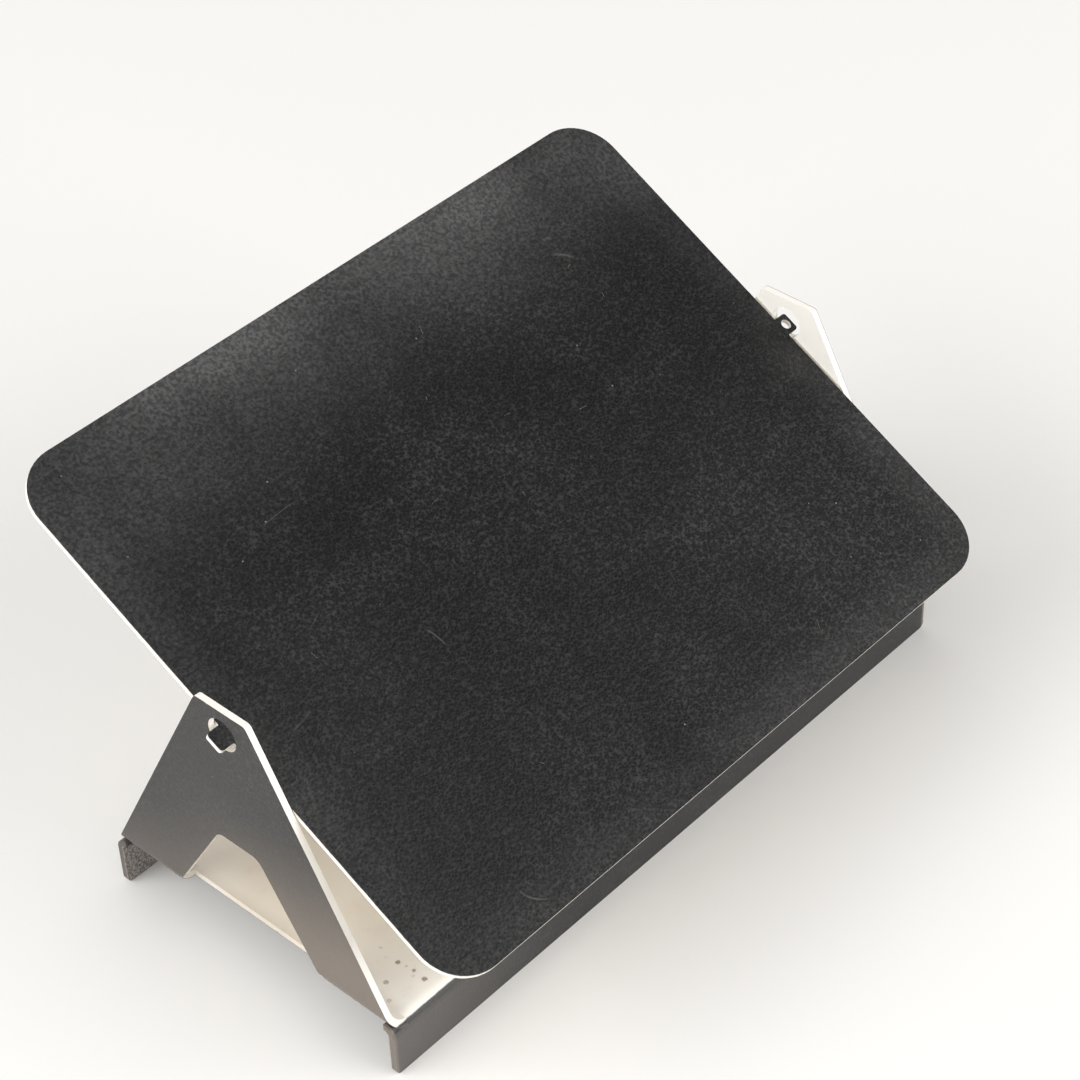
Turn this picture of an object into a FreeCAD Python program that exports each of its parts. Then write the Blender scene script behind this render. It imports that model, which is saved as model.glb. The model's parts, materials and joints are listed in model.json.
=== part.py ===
import FreeCAD, Part
import Sketcher
import math
import os
from FreeCAD import Placement, Rotation, Vector

# A small wall light with a pivoting flap, lying on its back.
#
# A folded sheet-metal base has two tall ears at its ends and two low flanges
# along its sides. The flanges stand on the wall, so the panel between them is
# held off it and leaves room for the wiring. A flat flap hangs between the
# ears on two tabs, and turns in front of a small screw-in bulb.
#
# Frame: millimetres. The origin is the centre of the panel's upper face,
# midway between its two wall-screw holes. +X runs along the flap's hinge,
# +Y across the base, towards the flap's raised edge, +Z away from the wall.

os.makedirs("parts", exist_ok=True)
doc = FreeCAD.newDocument("wall_light")

# ---------------------------------------------------------------- dimensions
# name, value in millimetres or degrees, what it is
DRIVING = [
    ("sheet_gauge", 1.5, "thickness of the base's and the flap's steel"),
    ("flap_length", 164.0, "flap along the hinge"),
    ("flap_width", 129.5, "flap across the hinge"),
    ("flap_corner", 10.5, "radius of the flap's corners"),
    ("flap_shift", 0.25, "play taken up towards -X"),
    ("rest_tilt", 29.0, "flap's tilt as it was left, +Y edge up"),
    ("tab_width", 4.4, "pivot tab across the hinge"),
    ("tab_reach", 3.2, "pivot tab past the flap's end"),
    ("tab_piercing", 2.4, "hole through the +X pivot tab"),
    ("tab_drop", 2.05, "hinge axis to the middle of the flap's sheet"),
    ("inside_length", 164.9, "between the two ears"),
    ("base_width", 78.8, "across the two flanges"),
    ("hinge_height", 53.4, "hinge axis above the panel"),
    ("ear_height", 59.4, "ear's top edge above the panel"),
    ("ear_top_width", 13.6, "ear's top edge"),
    ("pivot_hole", 7.5, "hole that a tab turns in"),
    ("ear_bend", 4.0, "outer radius of the bend under an ear"),
    ("flange_depth", 12.8, "panel's upper face to the wall"),
    ("flange_bend", 2.8, "outer radius of the bend over a flange"),
    ("flange_corner", 1.2, "rounding of the flanges' free corners"),
    ("notch_low_width", 40.7, "cut-out in an ear's foot, at the panel"),
    ("notch_high_width", 10.9, "the same, at its top"),
    ("notch_height", 23.9, "the same, above the panel"),
    ("notch_corner", 3.0, "rounding of the cut-out's upper corners"),
    ("wall_screw_spacing", 54.0, "between the wall-screw holes, along Y"),
    ("wall_screw_hole", 4.5, "wall-screw hole"),
    ("bracket_face", 58.0, "X of the bracket's face towards the bulb"),
    ("lamp_height", 24.0, "bulb's axis above the panel"),
    ("bracket_gauge", 1.5, "thickness of the lampholder bracket"),
    ("bracket_width", 26.0, "width of the lampholder bracket"),
    ("bracket_top", 34.0, "bracket's top edge above the panel"),
    ("bracket_foot", 18.0, "length of the bracket's foot"),
    ("bracket_screw_spacing", 19.0, "between the bracket's two screws"),
    ("bracket_screw_inset", 10.0, "bracket's face to its screws"),
    ("nipple_outer", 10.0, "threaded tube that carries the lampholder"),
    ("nipple_bore", 7.0, "bore of that tube, for the leads"),
    ("nipple_back", 7.0, "tube behind the bracket's face"),
    ("nipple_front", 5.0, "tube in front of the bracket's face"),
    ("nut_across", 14.0, "flats of the tube's thin nuts"),
    ("nut_thickness", 2.6, "thickness of the tube's thin nuts"),
    ("holder_outer", 26.4, "lampholder's outside"),
    ("holder_length", 41.0, "lampholder along its axis"),
    ("holder_wall", 2.0, "lampholder's wall"),
    ("holder_back", 3.0, "lampholder's closed end"),
    ("core_start", 16.0, "insulating core, from the bracket's face"),
    ("core_thickness", 6.0, "insulating core"),
    ("shell_length", 19.0, "lampholder's threaded shell"),
    ("thread_engaged", 3.0, "turns from the core to the start of the bulb's thread"),
    ("cap_lead", 4.2, "bulb's tip to the start of its thread"),
    ("cap_turns", 5.0, "turns of thread on the bulb's cap"),
    ("cap_skirt", 3.7, "plain end of the bulb's cap"),
    ("bulb_outer", 26.0, "bulb's glass"),
    ("bulb_length", 56.0, "bulb, tip to crown"),
    ("cap_outer", 13.8, "bulb's screw cap, over the thread"),
    ("thread_pitch", 2.82, "pitch of the screw cap"),
    ("thread_depth", 0.75, "depth of the screw cap's thread"),
    ("grommet_place", 73.0, "X of the rubber grommet"),
    ("grommet_bore", 5.6, "bore of the grommet"),
    ("grommet_outer", 12.0, "flanges of the grommet"),
    ("grommet_top", 1.4, "thickness of each of its flanges"),
    ("grommet_neck", 8.6, "grommet's neck, in the panel's hole"),
    ("block_place", 10.0, "X of the terminal block's centre"),
    ("block_length", 16.0, "terminal block along X"),
    ("block_width", 25.0, "terminal block along Y"),
    ("block_height", 9.6, "terminal block under the panel"),
    ("pole_pitch", 8.0, "between the block's three ways"),
    ("pole_depth", 5.8, "panel's underside to the ways' axes"),
    ("lead_outer", 1.8, "insulated lead"),
    ("washer_gauge", 0.8, "thickness of the washers"),
    ("nipple_hole", 10.2, "tube's hole in the bracket"),
    ("bracket_bend", 2.5, "outer radius of the bracket's bend"),
    ("bracket_round", 9.0, "rounding of the bracket's upper corners"),
    ("bracket_foot_corner", 3.0, "rounding of the foot's corners"),
    ("holder_shoulder", 3.0, "rounding of the lampholder's closed end"),
    ("terminal_place", 6.5, "lamp's axis to a terminal in the lampholder"),
    ("terminal_hole", 3.0, "hole for a terminal's screw"),
    ("thread_play", 0.2, "between the bulb's cap and its shell"),
    ("m4_clearance", 4.4, "hole for a 4 mm screw"),
    ("m3_clearance", 3.3, "hole for a 3 mm screw"),
    ("grommet_hole", 9.0, "hole for the grommet's neck"),
    ("ear_top_corner", 1.2, "rounding of the ears' top corners"),
    ("tab_corner", 0.7, "rounding of the tabs' ends"),
    ("tab_root", 0.3, "rounding where a tab leaves the flap"),
    ("m4_outer", 4.0, "shank of a 4 mm screw"),
    ("m4_head", 7.8, "pan head of a 4 mm screw"),
    ("m4_head_height", 2.4, "height of that head"),
    ("m4_washer", 8.4, "washer for a 4 mm screw"),
    ("m4_washer_hole", 4.3, "hole in that washer"),
    ("m4_nut", 7.0, "flats of a 4 mm nut"),
    ("m4_nut_height", 3.2, "height of a 4 mm nut"),
    ("m4_nut_bore", 4.1, "bore of a 4 mm nut"),
    ("nut_chamfer_slope", 1.6, "how flat a nut's chamfer is, radius over height"),
    ("nut_face", 0.93, "round face of a nut, over its flats"),
    ("head_round", 0.45, "rounding of a pan head, over its height"),
    ("slot_width", 0.3, "slot in a pan head, over the head's radius"),
    ("slot_depth", 0.45, "depth of that slot, over the head's height"),
    ("bracket_screw_length", 8.6, "shank of a bracket screw"),
    ("earth_screw_length", 7.4, "shank of the earth screw"),
    ("tube_nut_bore", 10.1, "bore of the tube's thin nuts"),
    ("shell_wall", 0.4, "thickness of the lampholder's shell"),
    ("contact_gauge", 0.5, "thickness of the centre contact"),
    ("contact_width", 4.0, "width of the centre contact"),
    ("contact_length", 9.0, "length of the centre contact"),
    ("contact_spring", 2.0, "height of its spring"),
    ("terminal_head", 4.6, "head of a terminal screw in the lampholder"),
    ("terminal_head_height", 1.2, "height of that head"),
    ("terminal_shank", 2.9, "shank of that screw"),
    ("terminal_shank_length", 5.6, "length of that shank"),
    ("cap_wall", 0.35, "thickness of the bulb's cap"),
    ("cap_flare", 0.4, "flare of the cap's plain end"),
    ("collar_length", 1.4, "cone between the cap's thread and its insulator"),
    ("collar_drop", 3.0, "how far that cone narrows"),
    ("collar_wall", 0.4, "thickness of that cone, across the axis"),
    ("tip_depth", 0.9, "height of the solder tip"),
    ("tip_radius", 2.2, "radius of the solder tip"),
    ("glass_start", 0.2, "end of the cap's thread to the glass"),
    ("stem_length", 8.0, "stem past the end of the glass neck"),
    ("stem_radius", 2.0, "radius of the stem's end"),
    ("support_foot", 1.2, "lamp's axis to a support's foot"),
    ("glass_wall", 0.8, "thickness of the bulb's glass"),
    ("neck_play", 0.4, "between the cap's crest and the glass neck"),
    ("swell_length", 11.0, "length over which the glass swells"),
    ("support_reach", 10.0, "supports past the end of the stem"),
    ("support_spread", 7.0, "lamp's axis to a support's end"),
    ("support_wire", 0.6, "supports' wire"),
    ("filament_outer", 0.9, "coiled filament"),
    ("block_corner", 1.2, "rounding of the block's corners"),
    ("way_outer", 4.2, "brass way in the block"),
    ("way_bore", 2.5, "bore of a way"),
    ("way_play", 0.05, "between a way and the block"),
    ("way_inset", 1.0, "way's end inside the block"),
    ("clamp_outer", 2.5, "clamp screw in a way"),
    ("clamp_length", 2.4, "length of a clamp screw"),
    ("clamp_place", 3.2, "way's end to its clamp screw"),
    ("m25_head", 5.0, "head of a screw that holds the block"),
    ("m25_head_height", 1.7, "height of that head"),
    ("m25_outer", 2.5, "shank of that screw"),
    ("m25_hole", 3.1, "its hole in the block"),
    ("m25_nut", 4.0, "flats of its nut"),
    ("m25_nut_height", 1.8, "height of its nut"),
    ("m25_nut_bore", 2.6, "bore of its nut"),
    ("tag_gauge", 0.8, "thickness of the earth tag"),
    ("tag_ring", 8.0, "ring of the earth tag"),
    ("tag_arm_length", 8.0, "arm of the earth tag"),
    ("tag_arm_width", 2.6, "width of that arm"),
    ("tag_barrel", 2.8, "crimped barrel of the earth tag"),
    ("tag_barrel_length", 5.0, "length of that barrel"),
    ("tag_barrel_bore", 1.9, "bore of that barrel"),
    ("earth_x", 36.0, "X of the earth screw"),
    ("earth_y", 20.0, "distance of the earth screw from the X axis"),
]

# values worked out from the ones above
DERIVED = [
    ("half_flap_length", "=flap_length/2"),
    ("half_flap_width", "=flap_width/2"),
    ("tab_end", "=flap_length/2+tab_reach"),
    ("half_tab", "=tab_width/2"),
    ("piercing_place", "=flap_length/2+tab_reach/2"),
    ("half_inside", "=inside_length/2"),
    ("half_outside", "=inside_length/2+sheet_gauge"),
    ("outside_length", "=inside_length+2*sheet_gauge"),
    ("half_base", "=base_width/2"),
    ("half_base_inner", "=base_width/2-sheet_gauge"),
    ("ear_bend_inner", "=ear_bend-sheet_gauge"),
    ("flange_bend_inner", "=flange_bend-sheet_gauge"),
    ("half_ear_top", "=ear_top_width/2"),
    ("trim_height", "=ear_height+5"),
    ("trim_width", "=base_width/2+5"),
    ("half_notch_low", "=notch_low_width/2"),
    ("half_notch_high", "=notch_high_width/2"),
    ("bend_start", "=inside_length/2+sheet_gauge-ear_bend"),
    ("bend_end", "=inside_length/2+sheet_gauge+1"),
    ("bend_inner_edge", "=base_width/2-flange_bend"),
    ("mouth_depth", "=2*sheet_gauge+0.2"),
    ("half_screw_spacing", "=wall_screw_spacing/2"),
    ("half_bracket_width", "=bracket_width/2"),
    ("half_bracket_screws", "=bracket_screw_spacing/2"),
    ("bracket_screw_x", "=bracket_face-bracket_screw_inset"),
    ("bracket_back", "=bracket_face+bracket_gauge"),
    ("bracket_foot_end", "=bracket_face-bracket_foot"),
    ("nipple_bore_radius", "=nipple_bore/2"),
    ("nipple_clear", "=nipple_outer/2+0.1"),
    ("half_pole_pitch", "=pole_pitch/2"),
    ("holder_radius", "=holder_outer/2"),
    ("holder_bore", "=holder_outer/2-holder_wall"),
    ("holder_end", "=nut_thickness+holder_length"),
    ("holder_floor", "=nut_thickness+holder_back"),
    ("nipple_radius", "=nipple_outer/2"),
    ("core_end", "=core_start+core_thickness"),
    ("bulb_start", "=core_start+core_thickness+thread_engaged*thread_pitch-cap_lead"),
    ("core_radius", "=holder_outer/2-holder_wall-0.2"),
    ("grommet_bore_radius", "=grommet_bore/2"),
    ("grommet_radius", "=grommet_outer/2"),
    ("grommet_neck_radius", "=grommet_neck/2"),
    ("grommet_bottom", "=sheet_gauge+grommet_top"),
]

sheet = doc.addObject("Spreadsheet::Sheet", "Sizes")
for row, (name, value, meaning) in enumerate(DRIVING, start=1):
    sheet.set(f"A{row}", name)
    sheet.set(f"B{row}", str(value))
    sheet.set(f"C{row}", meaning)
    sheet.setAlias(f"B{row}", name)
for row, (name, formula) in enumerate(DERIVED, start=len(DRIVING) + 2):
    sheet.set(f"A{row}", name)
    sheet.set(f"B{row}", formula)
    sheet.setAlias(f"B{row}", name)
doc.recompute()


def size(name):
    """The value of one cell of the sheet."""
    return float(sheet.get(name))


def bind(thing, prop, name, sign=""):
    """Ties one property to one cell."""
    thing.setExpression(prop, f"{sign}Sizes.{name}")


THROUGH = 500  # longer than the whole object, for cuts that go right through

parts = []


def keep(thing, label):
    """Names a finished sub-part, so that it is checked and written."""
    thing.Label = label
    parts.append(thing)
    return thing


# ------------------------------------------------------- sketches and solids
def new_body(label):
    body = doc.addObject("PartDesign::Body", label + "_body")
    return keep(body, label)


def origin_plane(body, role):
    return next(plane for plane in body.Origin.OriginFeatures if plane.Role == role)


def new_sketch(body, role, name):
    sketch = body.newObject("Sketcher::SketchObject", name)
    sketch.AttachmentSupport = (origin_plane(body, role), "")
    sketch.MapMode = "FlatFace"
    return sketch


def read_coordinate(text):
    """A coordinate is "0", or a sign and the name of a cell."""
    if text == "0":
        return 0.0
    value = size(text[1:])
    return -value if text[0] == "-" else value


def pin_point(sketch, item, end, across, up):
    """Holds one point of a sketch at two cells' distance from its origin."""
    for kind, text in (("DistanceX", across), ("DistanceY", up)):
        if text == "0":
            on_axis = -2 if kind == "DistanceX" else -1
            sketch.addConstraint(Sketcher.Constraint("PointOnObject", item, end, on_axis))
            continue
        value = size(text[1:])
        if text[0] == "-":
            rule = Sketcher.Constraint(kind, item, end, -1, 1, value)
        else:
            rule = Sketcher.Constraint(kind, -1, 1, item, end, value)
        number = sketch.addConstraint(rule)
        sketch.setExpression(f"Constraints[{number}]", f"Sizes.{text[1:]}")


def outline(sketch, points):
    """A closed chain of straight lines through the given points."""
    places = [Vector(read_coordinate(a), read_coordinate(b), 0) for a, b in points]
    first = sketch.GeometryCount
    count = len(points)
    for number in range(count):
        line = Part.LineSegment(places[number], places[(number + 1) % count])
        sketch.addGeometry(line, False)
    for number in range(count):
        following = first + (number + 1) % count
        sketch.addConstraint(Sketcher.Constraint("Coincident", first + number, 2, following, 1))
    for number, (across, up) in enumerate(points):
        pin_point(sketch, first + number, 1, across, up)


def circle(sketch, across, up, diameter):
    """A circle whose centre and diameter are cells."""
    centre = Vector(read_coordinate(across), read_coordinate(up), 0)
    item = sketch.addGeometry(Part.Circle(centre, Vector(0, 0, 1), size(diameter) / 2), False)
    pin_point(sketch, item, 3, across, up)
    number = sketch.addConstraint(Sketcher.Constraint("Diameter", item, size(diameter)))
    sketch.setExpression(f"Constraints[{number}]", f"Sizes.{diameter}")


def pad(body, sketch, length, name):
    """Thickens a sketch to both sides of its plane."""
    feature = body.newObject("PartDesign::Pad", name)
    feature.Profile = sketch
    feature.SideType = "Symmetric"
    bind(feature, "Length", length)
    doc.recompute()
    return feature


def cut_through(body, sketch, name):
    """Cuts a sketch out of the whole body, both ways, and proves that it cut."""
    before = body.Shape.Volume
    feature = body.newObject("PartDesign::Pocket", name)
    feature.Profile = sketch
    feature.SideType = "Symmetric"
    feature.Length = THROUGH
    doc.recompute()
    if body.Shape.Volume >= before - 0.01:
        raise RuntimeError(name + " cuts nothing")
    return feature


def round_edges(body, name, radius, wanted):
    """Rounds the edges whose middle point passes the test."""
    base = body.Tip
    edges = base.Shape.Edges
    names = []
    for number, edge in enumerate(edges, start=1):
        middle = edge.valueAt((edge.FirstParameter + edge.LastParameter) / 2)
        if wanted(middle, edge):
            names.append(f"Edge{number}")
    if not names:
        raise RuntimeError(name + " finds no edge")
    feature = body.newObject("PartDesign::Fillet", name)
    feature.Base = (base, names)
    bind(feature, "Radius", radius)
    doc.recompute()
    return feature


def runs_along(edge, axis):
    """True for a straight edge parallel to an axis, 0 for X, 1 for Y, 2 for Z."""
    if edge.Curve.TypeId != "Part::GeomLine":
        return False
    direction = edge.tangentAt(edge.FirstParameter)
    return abs(abs(direction[axis]) - 1) < 1e-6


def near(value, target):
    return abs(abs(value) - target) < 0.01


# ------------------------------------------------------------------ the base
def cut_panel_holes(body):
    """Every hole through the panel."""
    holes = new_sketch(body, "XY_Plane", "panel_holes")
    for side in ("-", "+"):
        circle(holes, "0", side + "half_screw_spacing", "wall_screw_hole")
        circle(holes, "+bracket_screw_x", side + "half_bracket_screws", "m4_clearance")
        circle(holes, "+block_place", side + "half_pole_pitch", "m3_clearance")
    circle(holes, "+grommet_place", "0", "grommet_hole")
    circle(holes, "+earth_x", "-earth_y", "m4_clearance")
    cut_through(body, holes, "panel_holes_cut")


def make_ears():
    """The panel's middle with an ear folded up at each end."""
    body = doc.addObject("PartDesign::Body", "ears")
    profile = new_sketch(body, "XZ_Plane", "panel_and_ears")
    outline(profile, [
        ("-half_outside", "-sheet_gauge"), ("+half_outside", "-sheet_gauge"),
        ("+half_outside", "+ear_height"), ("+half_inside", "+ear_height"),
        ("+half_inside", "0"), ("-half_inside", "0"),
        ("-half_inside", "+ear_height"), ("-half_outside", "+ear_height")])
    pad(body, profile, "base_width", "panel_and_ears_pad")
    round_edges(body, "ear_bends_outside", "ear_bend",
                lambda at, edge: runs_along(edge, 1)
                and near(at.x, size("half_outside")) and at.z < 0)
    round_edges(body, "ear_bends_inside", "ear_bend_inner",
                lambda at, edge: runs_along(edge, 1)
                and near(at.x, size("half_inside")) and near(at.z, 0))

    # each ear narrows from the panel's full width to its short top edge
    trim = new_sketch(body, "YZ_Plane", "ear_sides")
    for side in ("-", "+"):
        outline(trim, [
            (side + "half_base", "-sheet_gauge"), (side + "trim_width", "-sheet_gauge"),
            (side + "trim_width", "+trim_height"), (side + "half_ear_top", "+trim_height"),
            (side + "half_ear_top", "+ear_height")])
    cut_through(body, trim, "ear_sides_cut")

    # between the ears, the panel's edges belong to the bends of the flanges
    margins = new_sketch(body, "XY_Plane", "panel_margins")
    for side in ("-", "+"):
        outline(margins, [
            ("-bend_start", side + "bend_inner_edge"), ("+bend_start", side + "bend_inner_edge"),
            ("+bend_start", side + "trim_width"), ("-bend_start", side + "trim_width")])
    cut_through(body, margins, "panel_margins_cut")

    # a cut-out in each ear's foot leaves it standing on two legs
    notch = new_sketch(body, "YZ_Plane", "notch")
    outline(notch, [
        ("-half_notch_low", "0"), ("+half_notch_low", "0"),
        ("+half_notch_high", "+notch_height"), ("-half_notch_high", "+notch_height")])
    cut_through(body, notch, "notch_cut")
    round_edges(body, "notch_corners", "notch_corner",
                lambda at, edge: runs_along(edge, 0)
                and near(at.y, size("half_notch_high")) and near(at.z, size("notch_height")))
    mouth = new_sketch(body, "XY_Plane", "notch_mouth")
    for side in ("-", "+"):
        outline(mouth, [
            (side + "bend_start", "-half_notch_low"), (side + "bend_end", "-half_notch_low"),
            (side + "bend_end", "+half_notch_low"), (side + "bend_start", "+half_notch_low")])
    before = body.Shape.Volume
    pocket = body.newObject("PartDesign::Pocket", "notch_mouth_cut")
    pocket.Profile = mouth
    pocket.SideType = "Symmetric"
    bind(pocket, "Length", "mouth_depth")
    doc.recompute()
    if body.Shape.Volume >= before - 0.01:
        raise RuntimeError("the notches' mouths cut nothing")

    # the two holes that the flap's tabs turn in
    pivots = new_sketch(body, "YZ_Plane", "pivots")
    circle(pivots, "0", "+hinge_height", "pivot_hole")
    cut_through(body, pivots, "pivot_holes")
    cut_panel_holes(body)
    round_edges(body, "ear_top_corners", "ear_top_corner",
                lambda at, edge: runs_along(edge, 0)
                and near(at.y, size("half_ear_top")) and near(at.z, size("ear_height")))
    return body


def make_flanges():
    """The panel with a flange bent down along each of its sides."""
    body = doc.addObject("PartDesign::Body", "flanges")
    profile = new_sketch(body, "YZ_Plane", "panel_and_flanges")
    outline(profile, [
        ("-half_base", "0"), ("+half_base", "0"),
        ("+half_base", "-flange_depth"), ("+half_base_inner", "-flange_depth"),
        ("+half_base_inner", "-sheet_gauge"), ("-half_base_inner", "-sheet_gauge"),
        ("-half_base_inner", "-flange_depth"), ("-half_base", "-flange_depth")])
    pad(body, profile, "outside_length", "panel_and_flanges_pad")
    round_edges(body, "flange_bends_outside", "flange_bend",
                lambda at, edge: runs_along(edge, 0)
                and near(at.y, size("half_base")) and near(at.z, 0))
    round_edges(body, "flange_bends_inside", "flange_bend_inner",
                lambda at, edge: runs_along(edge, 0)
                and near(at.y, size("half_base_inner")) and near(at.z, size("sheet_gauge")))
    round_edges(body, "flange_corners", "flange_corner",
                lambda at, edge: runs_along(edge, 1)
                and near(at.x, size("half_outside")) and near(at.z, size("flange_depth")))

    # the panel's ends belong to the bends of the ears
    ends = new_sketch(body, "XY_Plane", "panel_ends")
    for side in ("-", "+"):
        outline(ends, [
            (side + "bend_start", "-bend_inner_edge"), (side + "bend_end", "-bend_inner_edge"),
            (side + "bend_end", "+bend_inner_edge"), (side + "bend_start", "+bend_inner_edge")])
    cut_through(body, ends, "panel_ends_cut")
    cut_panel_holes(body)
    return body


def make_base():
    """One folded sheet: panel, two ears up, two flanges down."""
    base = doc.addObject("Part::Fuse", "base_bracket")
    base.Base = make_ears()
    base.Tool = make_flanges()
    base.Refine = True
    doc.recompute()
    return keep(base, "base_bracket")


# ------------------------------------------------------------------ the flap
def make_flap():
    """A flat sheet with rounded corners and a tab at each end, one of them
    pierced for a wire that keeps the flap from sliding out."""
    body = new_body("flap")
    plate = new_sketch(body, "XY_Plane", "plate")
    outline(plate, [
        ("-half_flap_length", "-half_flap_width"), ("+half_flap_length", "-half_flap_width"),
        ("+half_flap_length", "-half_tab"), ("+tab_end", "-half_tab"),
        ("+tab_end", "+half_tab"), ("+half_flap_length", "+half_tab"),
        ("+half_flap_length", "+half_flap_width"), ("-half_flap_length", "+half_flap_width"),
        ("-half_flap_length", "+half_tab"), ("-tab_end", "+half_tab"),
        ("-tab_end", "-half_tab"), ("-half_flap_length", "-half_tab")])
    pad(body, plate, "sheet_gauge", "plate_pad")
    round_edges(body, "plate_corners", "flap_corner",
                lambda at, edge: runs_along(edge, 2) and near(at.y, size("half_flap_width")))
    round_edges(body, "tab_corners", "tab_corner",
                lambda at, edge: runs_along(edge, 2) and near(at.x, size("tab_end")))
    round_edges(body, "tab_roots", "tab_root",
                lambda at, edge: runs_along(edge, 2)
                and near(at.x, size("half_flap_length")) and near(at.y, size("half_tab")))
    piercing = new_sketch(body, "XY_Plane", "piercing")
    circle(piercing, "+piercing_place", "0", "tab_piercing")
    cut_through(body, piercing, "piercing_cut")

    # the sheet lies under the hinge axis, because a flat tab rests on its two
    # lower edges in a round hole
    tilt = Rotation(Vector(1, 0, 0), size("rest_tilt"))
    body.Placement = Placement(Vector(0, 0, 0), tilt)
    body.setExpression("Placement.Rotation.Angle", "Sizes.rest_tilt")
    bind(body, "Placement.Base.x", "flap_shift", "-")
    body.setExpression("Placement.Base.y", "Sizes.tab_drop * sin(Sizes.rest_tilt)")
    body.setExpression("Placement.Base.z",
                       "Sizes.hinge_height - Sizes.tab_drop * cos(Sizes.rest_tilt)")
    return body


# --------------------------------------------------- turned and plain pieces
def place(thing, across="0", along="0", up="0"):
    """Binds a placement to three cells, each written like a sketch's point."""
    for axis, text in (("x", across), ("y", along), ("z", up)):
        if text != "0":
            bind(thing, f"Placement.Base.{axis}", text[1:], "-" if text[0] == "-" else "")


def turned(label, points, axis="H_Axis"):
    """A solid turned about its sketch's X axis (H_Axis) or Z axis (V_Axis)."""
    body = new_body(label)
    section = new_sketch(body, "XZ_Plane", "section")
    outline(section, points)
    feature = body.newObject("PartDesign::Revolution", "turning")
    feature.Profile = section
    feature.ReferenceAxis = (section, [axis])
    feature.Angle = 360
    doc.recompute()
    return body


def on_lamp_axis(thing):
    """The lamp's pieces are drawn along +X from the bracket's face, then
    turned to point towards -X and set on the lamp's axis."""
    thing.Placement = Placement(Vector(0, 0, 0), Rotation(Vector(0, 0, 1), 180))
    place(thing, across="+bracket_face", up="+lamp_height")
    return thing


def round_bar(radius, length, middle, direction):
    """A cylinder whose near end is at a point."""
    return Part.makeCylinder(radius, length, middle, direction)


def hexagon(across_flats, thickness, place_at, direction):
    """A hexagonal prism with its corners chamfered."""
    corner = across_flats / math.sqrt(3)
    points = [Vector(corner * math.cos(math.radians(60 * turn)),
                     corner * math.sin(math.radians(60 * turn)), 0) for turn in range(7)]
    prism = Part.Face(Part.makePolygon(points)).extrude(Vector(0, 0, thickness))
    slope = size("nut_chamfer_slope")
    top_radius = across_flats / 2 * size("nut_face")
    chamfer = Part.makeCone(across_flats / 2 + thickness * slope, top_radius, thickness)
    solid = prism.common(chamfer)
    solid.Placement = Placement(place_at, Rotation(Vector(0, 0, 1), direction))
    return solid


def shaped(label, shape):
    """A piece whose shape is worked out below from the sheet's values."""
    piece = doc.addObject("Part::Feature", label)
    piece.Shape = shape
    return keep(piece, label)


DOWN = Vector(0, 0, -1)
UP = Vector(0, 0, 1)
TO_BULB = Vector(-1, 0, 0)
FROM_BULB = Vector(1, 0, 0)


def pan_screw(radius, head_radius, head_height, length, at):
    """A slotted pan-head screw pointing down, its head's underside at a point."""
    shank = round_bar(radius, length, at, DOWN)
    head = round_bar(head_radius, head_height, at, UP)
    rim = [edge for edge in head.Edges if edge.BoundBox.ZMin > at.z + head_height - 0.01]
    head = head.makeFillet(head_height * size("head_round"), rim)
    wide = head_radius * size("slot_width")
    floor = head_height * (1 - size("slot_depth"))
    slot = Part.makeBox(head_radius * 2.4, wide, head_height)
    slot.translate(at + Vector(-head_radius * 1.2, -wide / 2, floor))
    return shank.fuse(head.cut(slot))


def m4_screw(length, at):
    return pan_screw(size("m4_outer") / 2, size("m4_head") / 2, size("m4_head_height"), length, at)


# ------------------------------------------------------ the lampholder's arm
def make_bracket():
    """A small angle of steel: a foot on the panel and an upright plate."""
    body = new_body("lampholder_bracket")
    profile = new_sketch(body, "XZ_Plane", "angle")
    outline(profile, [
        ("+bracket_foot_end", "0"), ("+bracket_back", "0"), ("+bracket_back", "+bracket_top"),
        ("+bracket_face", "+bracket_top"), ("+bracket_face", "+bracket_gauge"),
        ("+bracket_foot_end", "+bracket_gauge")])
    pad(body, profile, "bracket_width", "angle_pad")
    round_edges(body, "angle_bend_outside", "bracket_bend",
                lambda at, edge: runs_along(edge, 1)
                and near(at.x, size("bracket_back")) and near(at.z, 0))
    round_edges(body, "upright_corners", "bracket_round",
                lambda at, edge: runs_along(edge, 0)
                and near(at.y, size("half_bracket_width")) and near(at.z, size("bracket_top")))
    round_edges(body, "foot_corners", "bracket_foot_corner",
                lambda at, edge: runs_along(edge, 2)
                and near(at.x, size("bracket_foot_end")))
    bore = new_sketch(body, "YZ_Plane", "tube_hole")
    circle(bore, "0", "+lamp_height", "nipple_hole")
    cut_through(body, bore, "tube_hole_cut")
    screws = new_sketch(body, "XY_Plane", "screw_holes")
    for side in ("-", "+"):
        circle(screws, "+bracket_screw_x", side + "half_bracket_screws", "m4_clearance")
    cut_through(body, screws, "screw_holes_cut")


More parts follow.
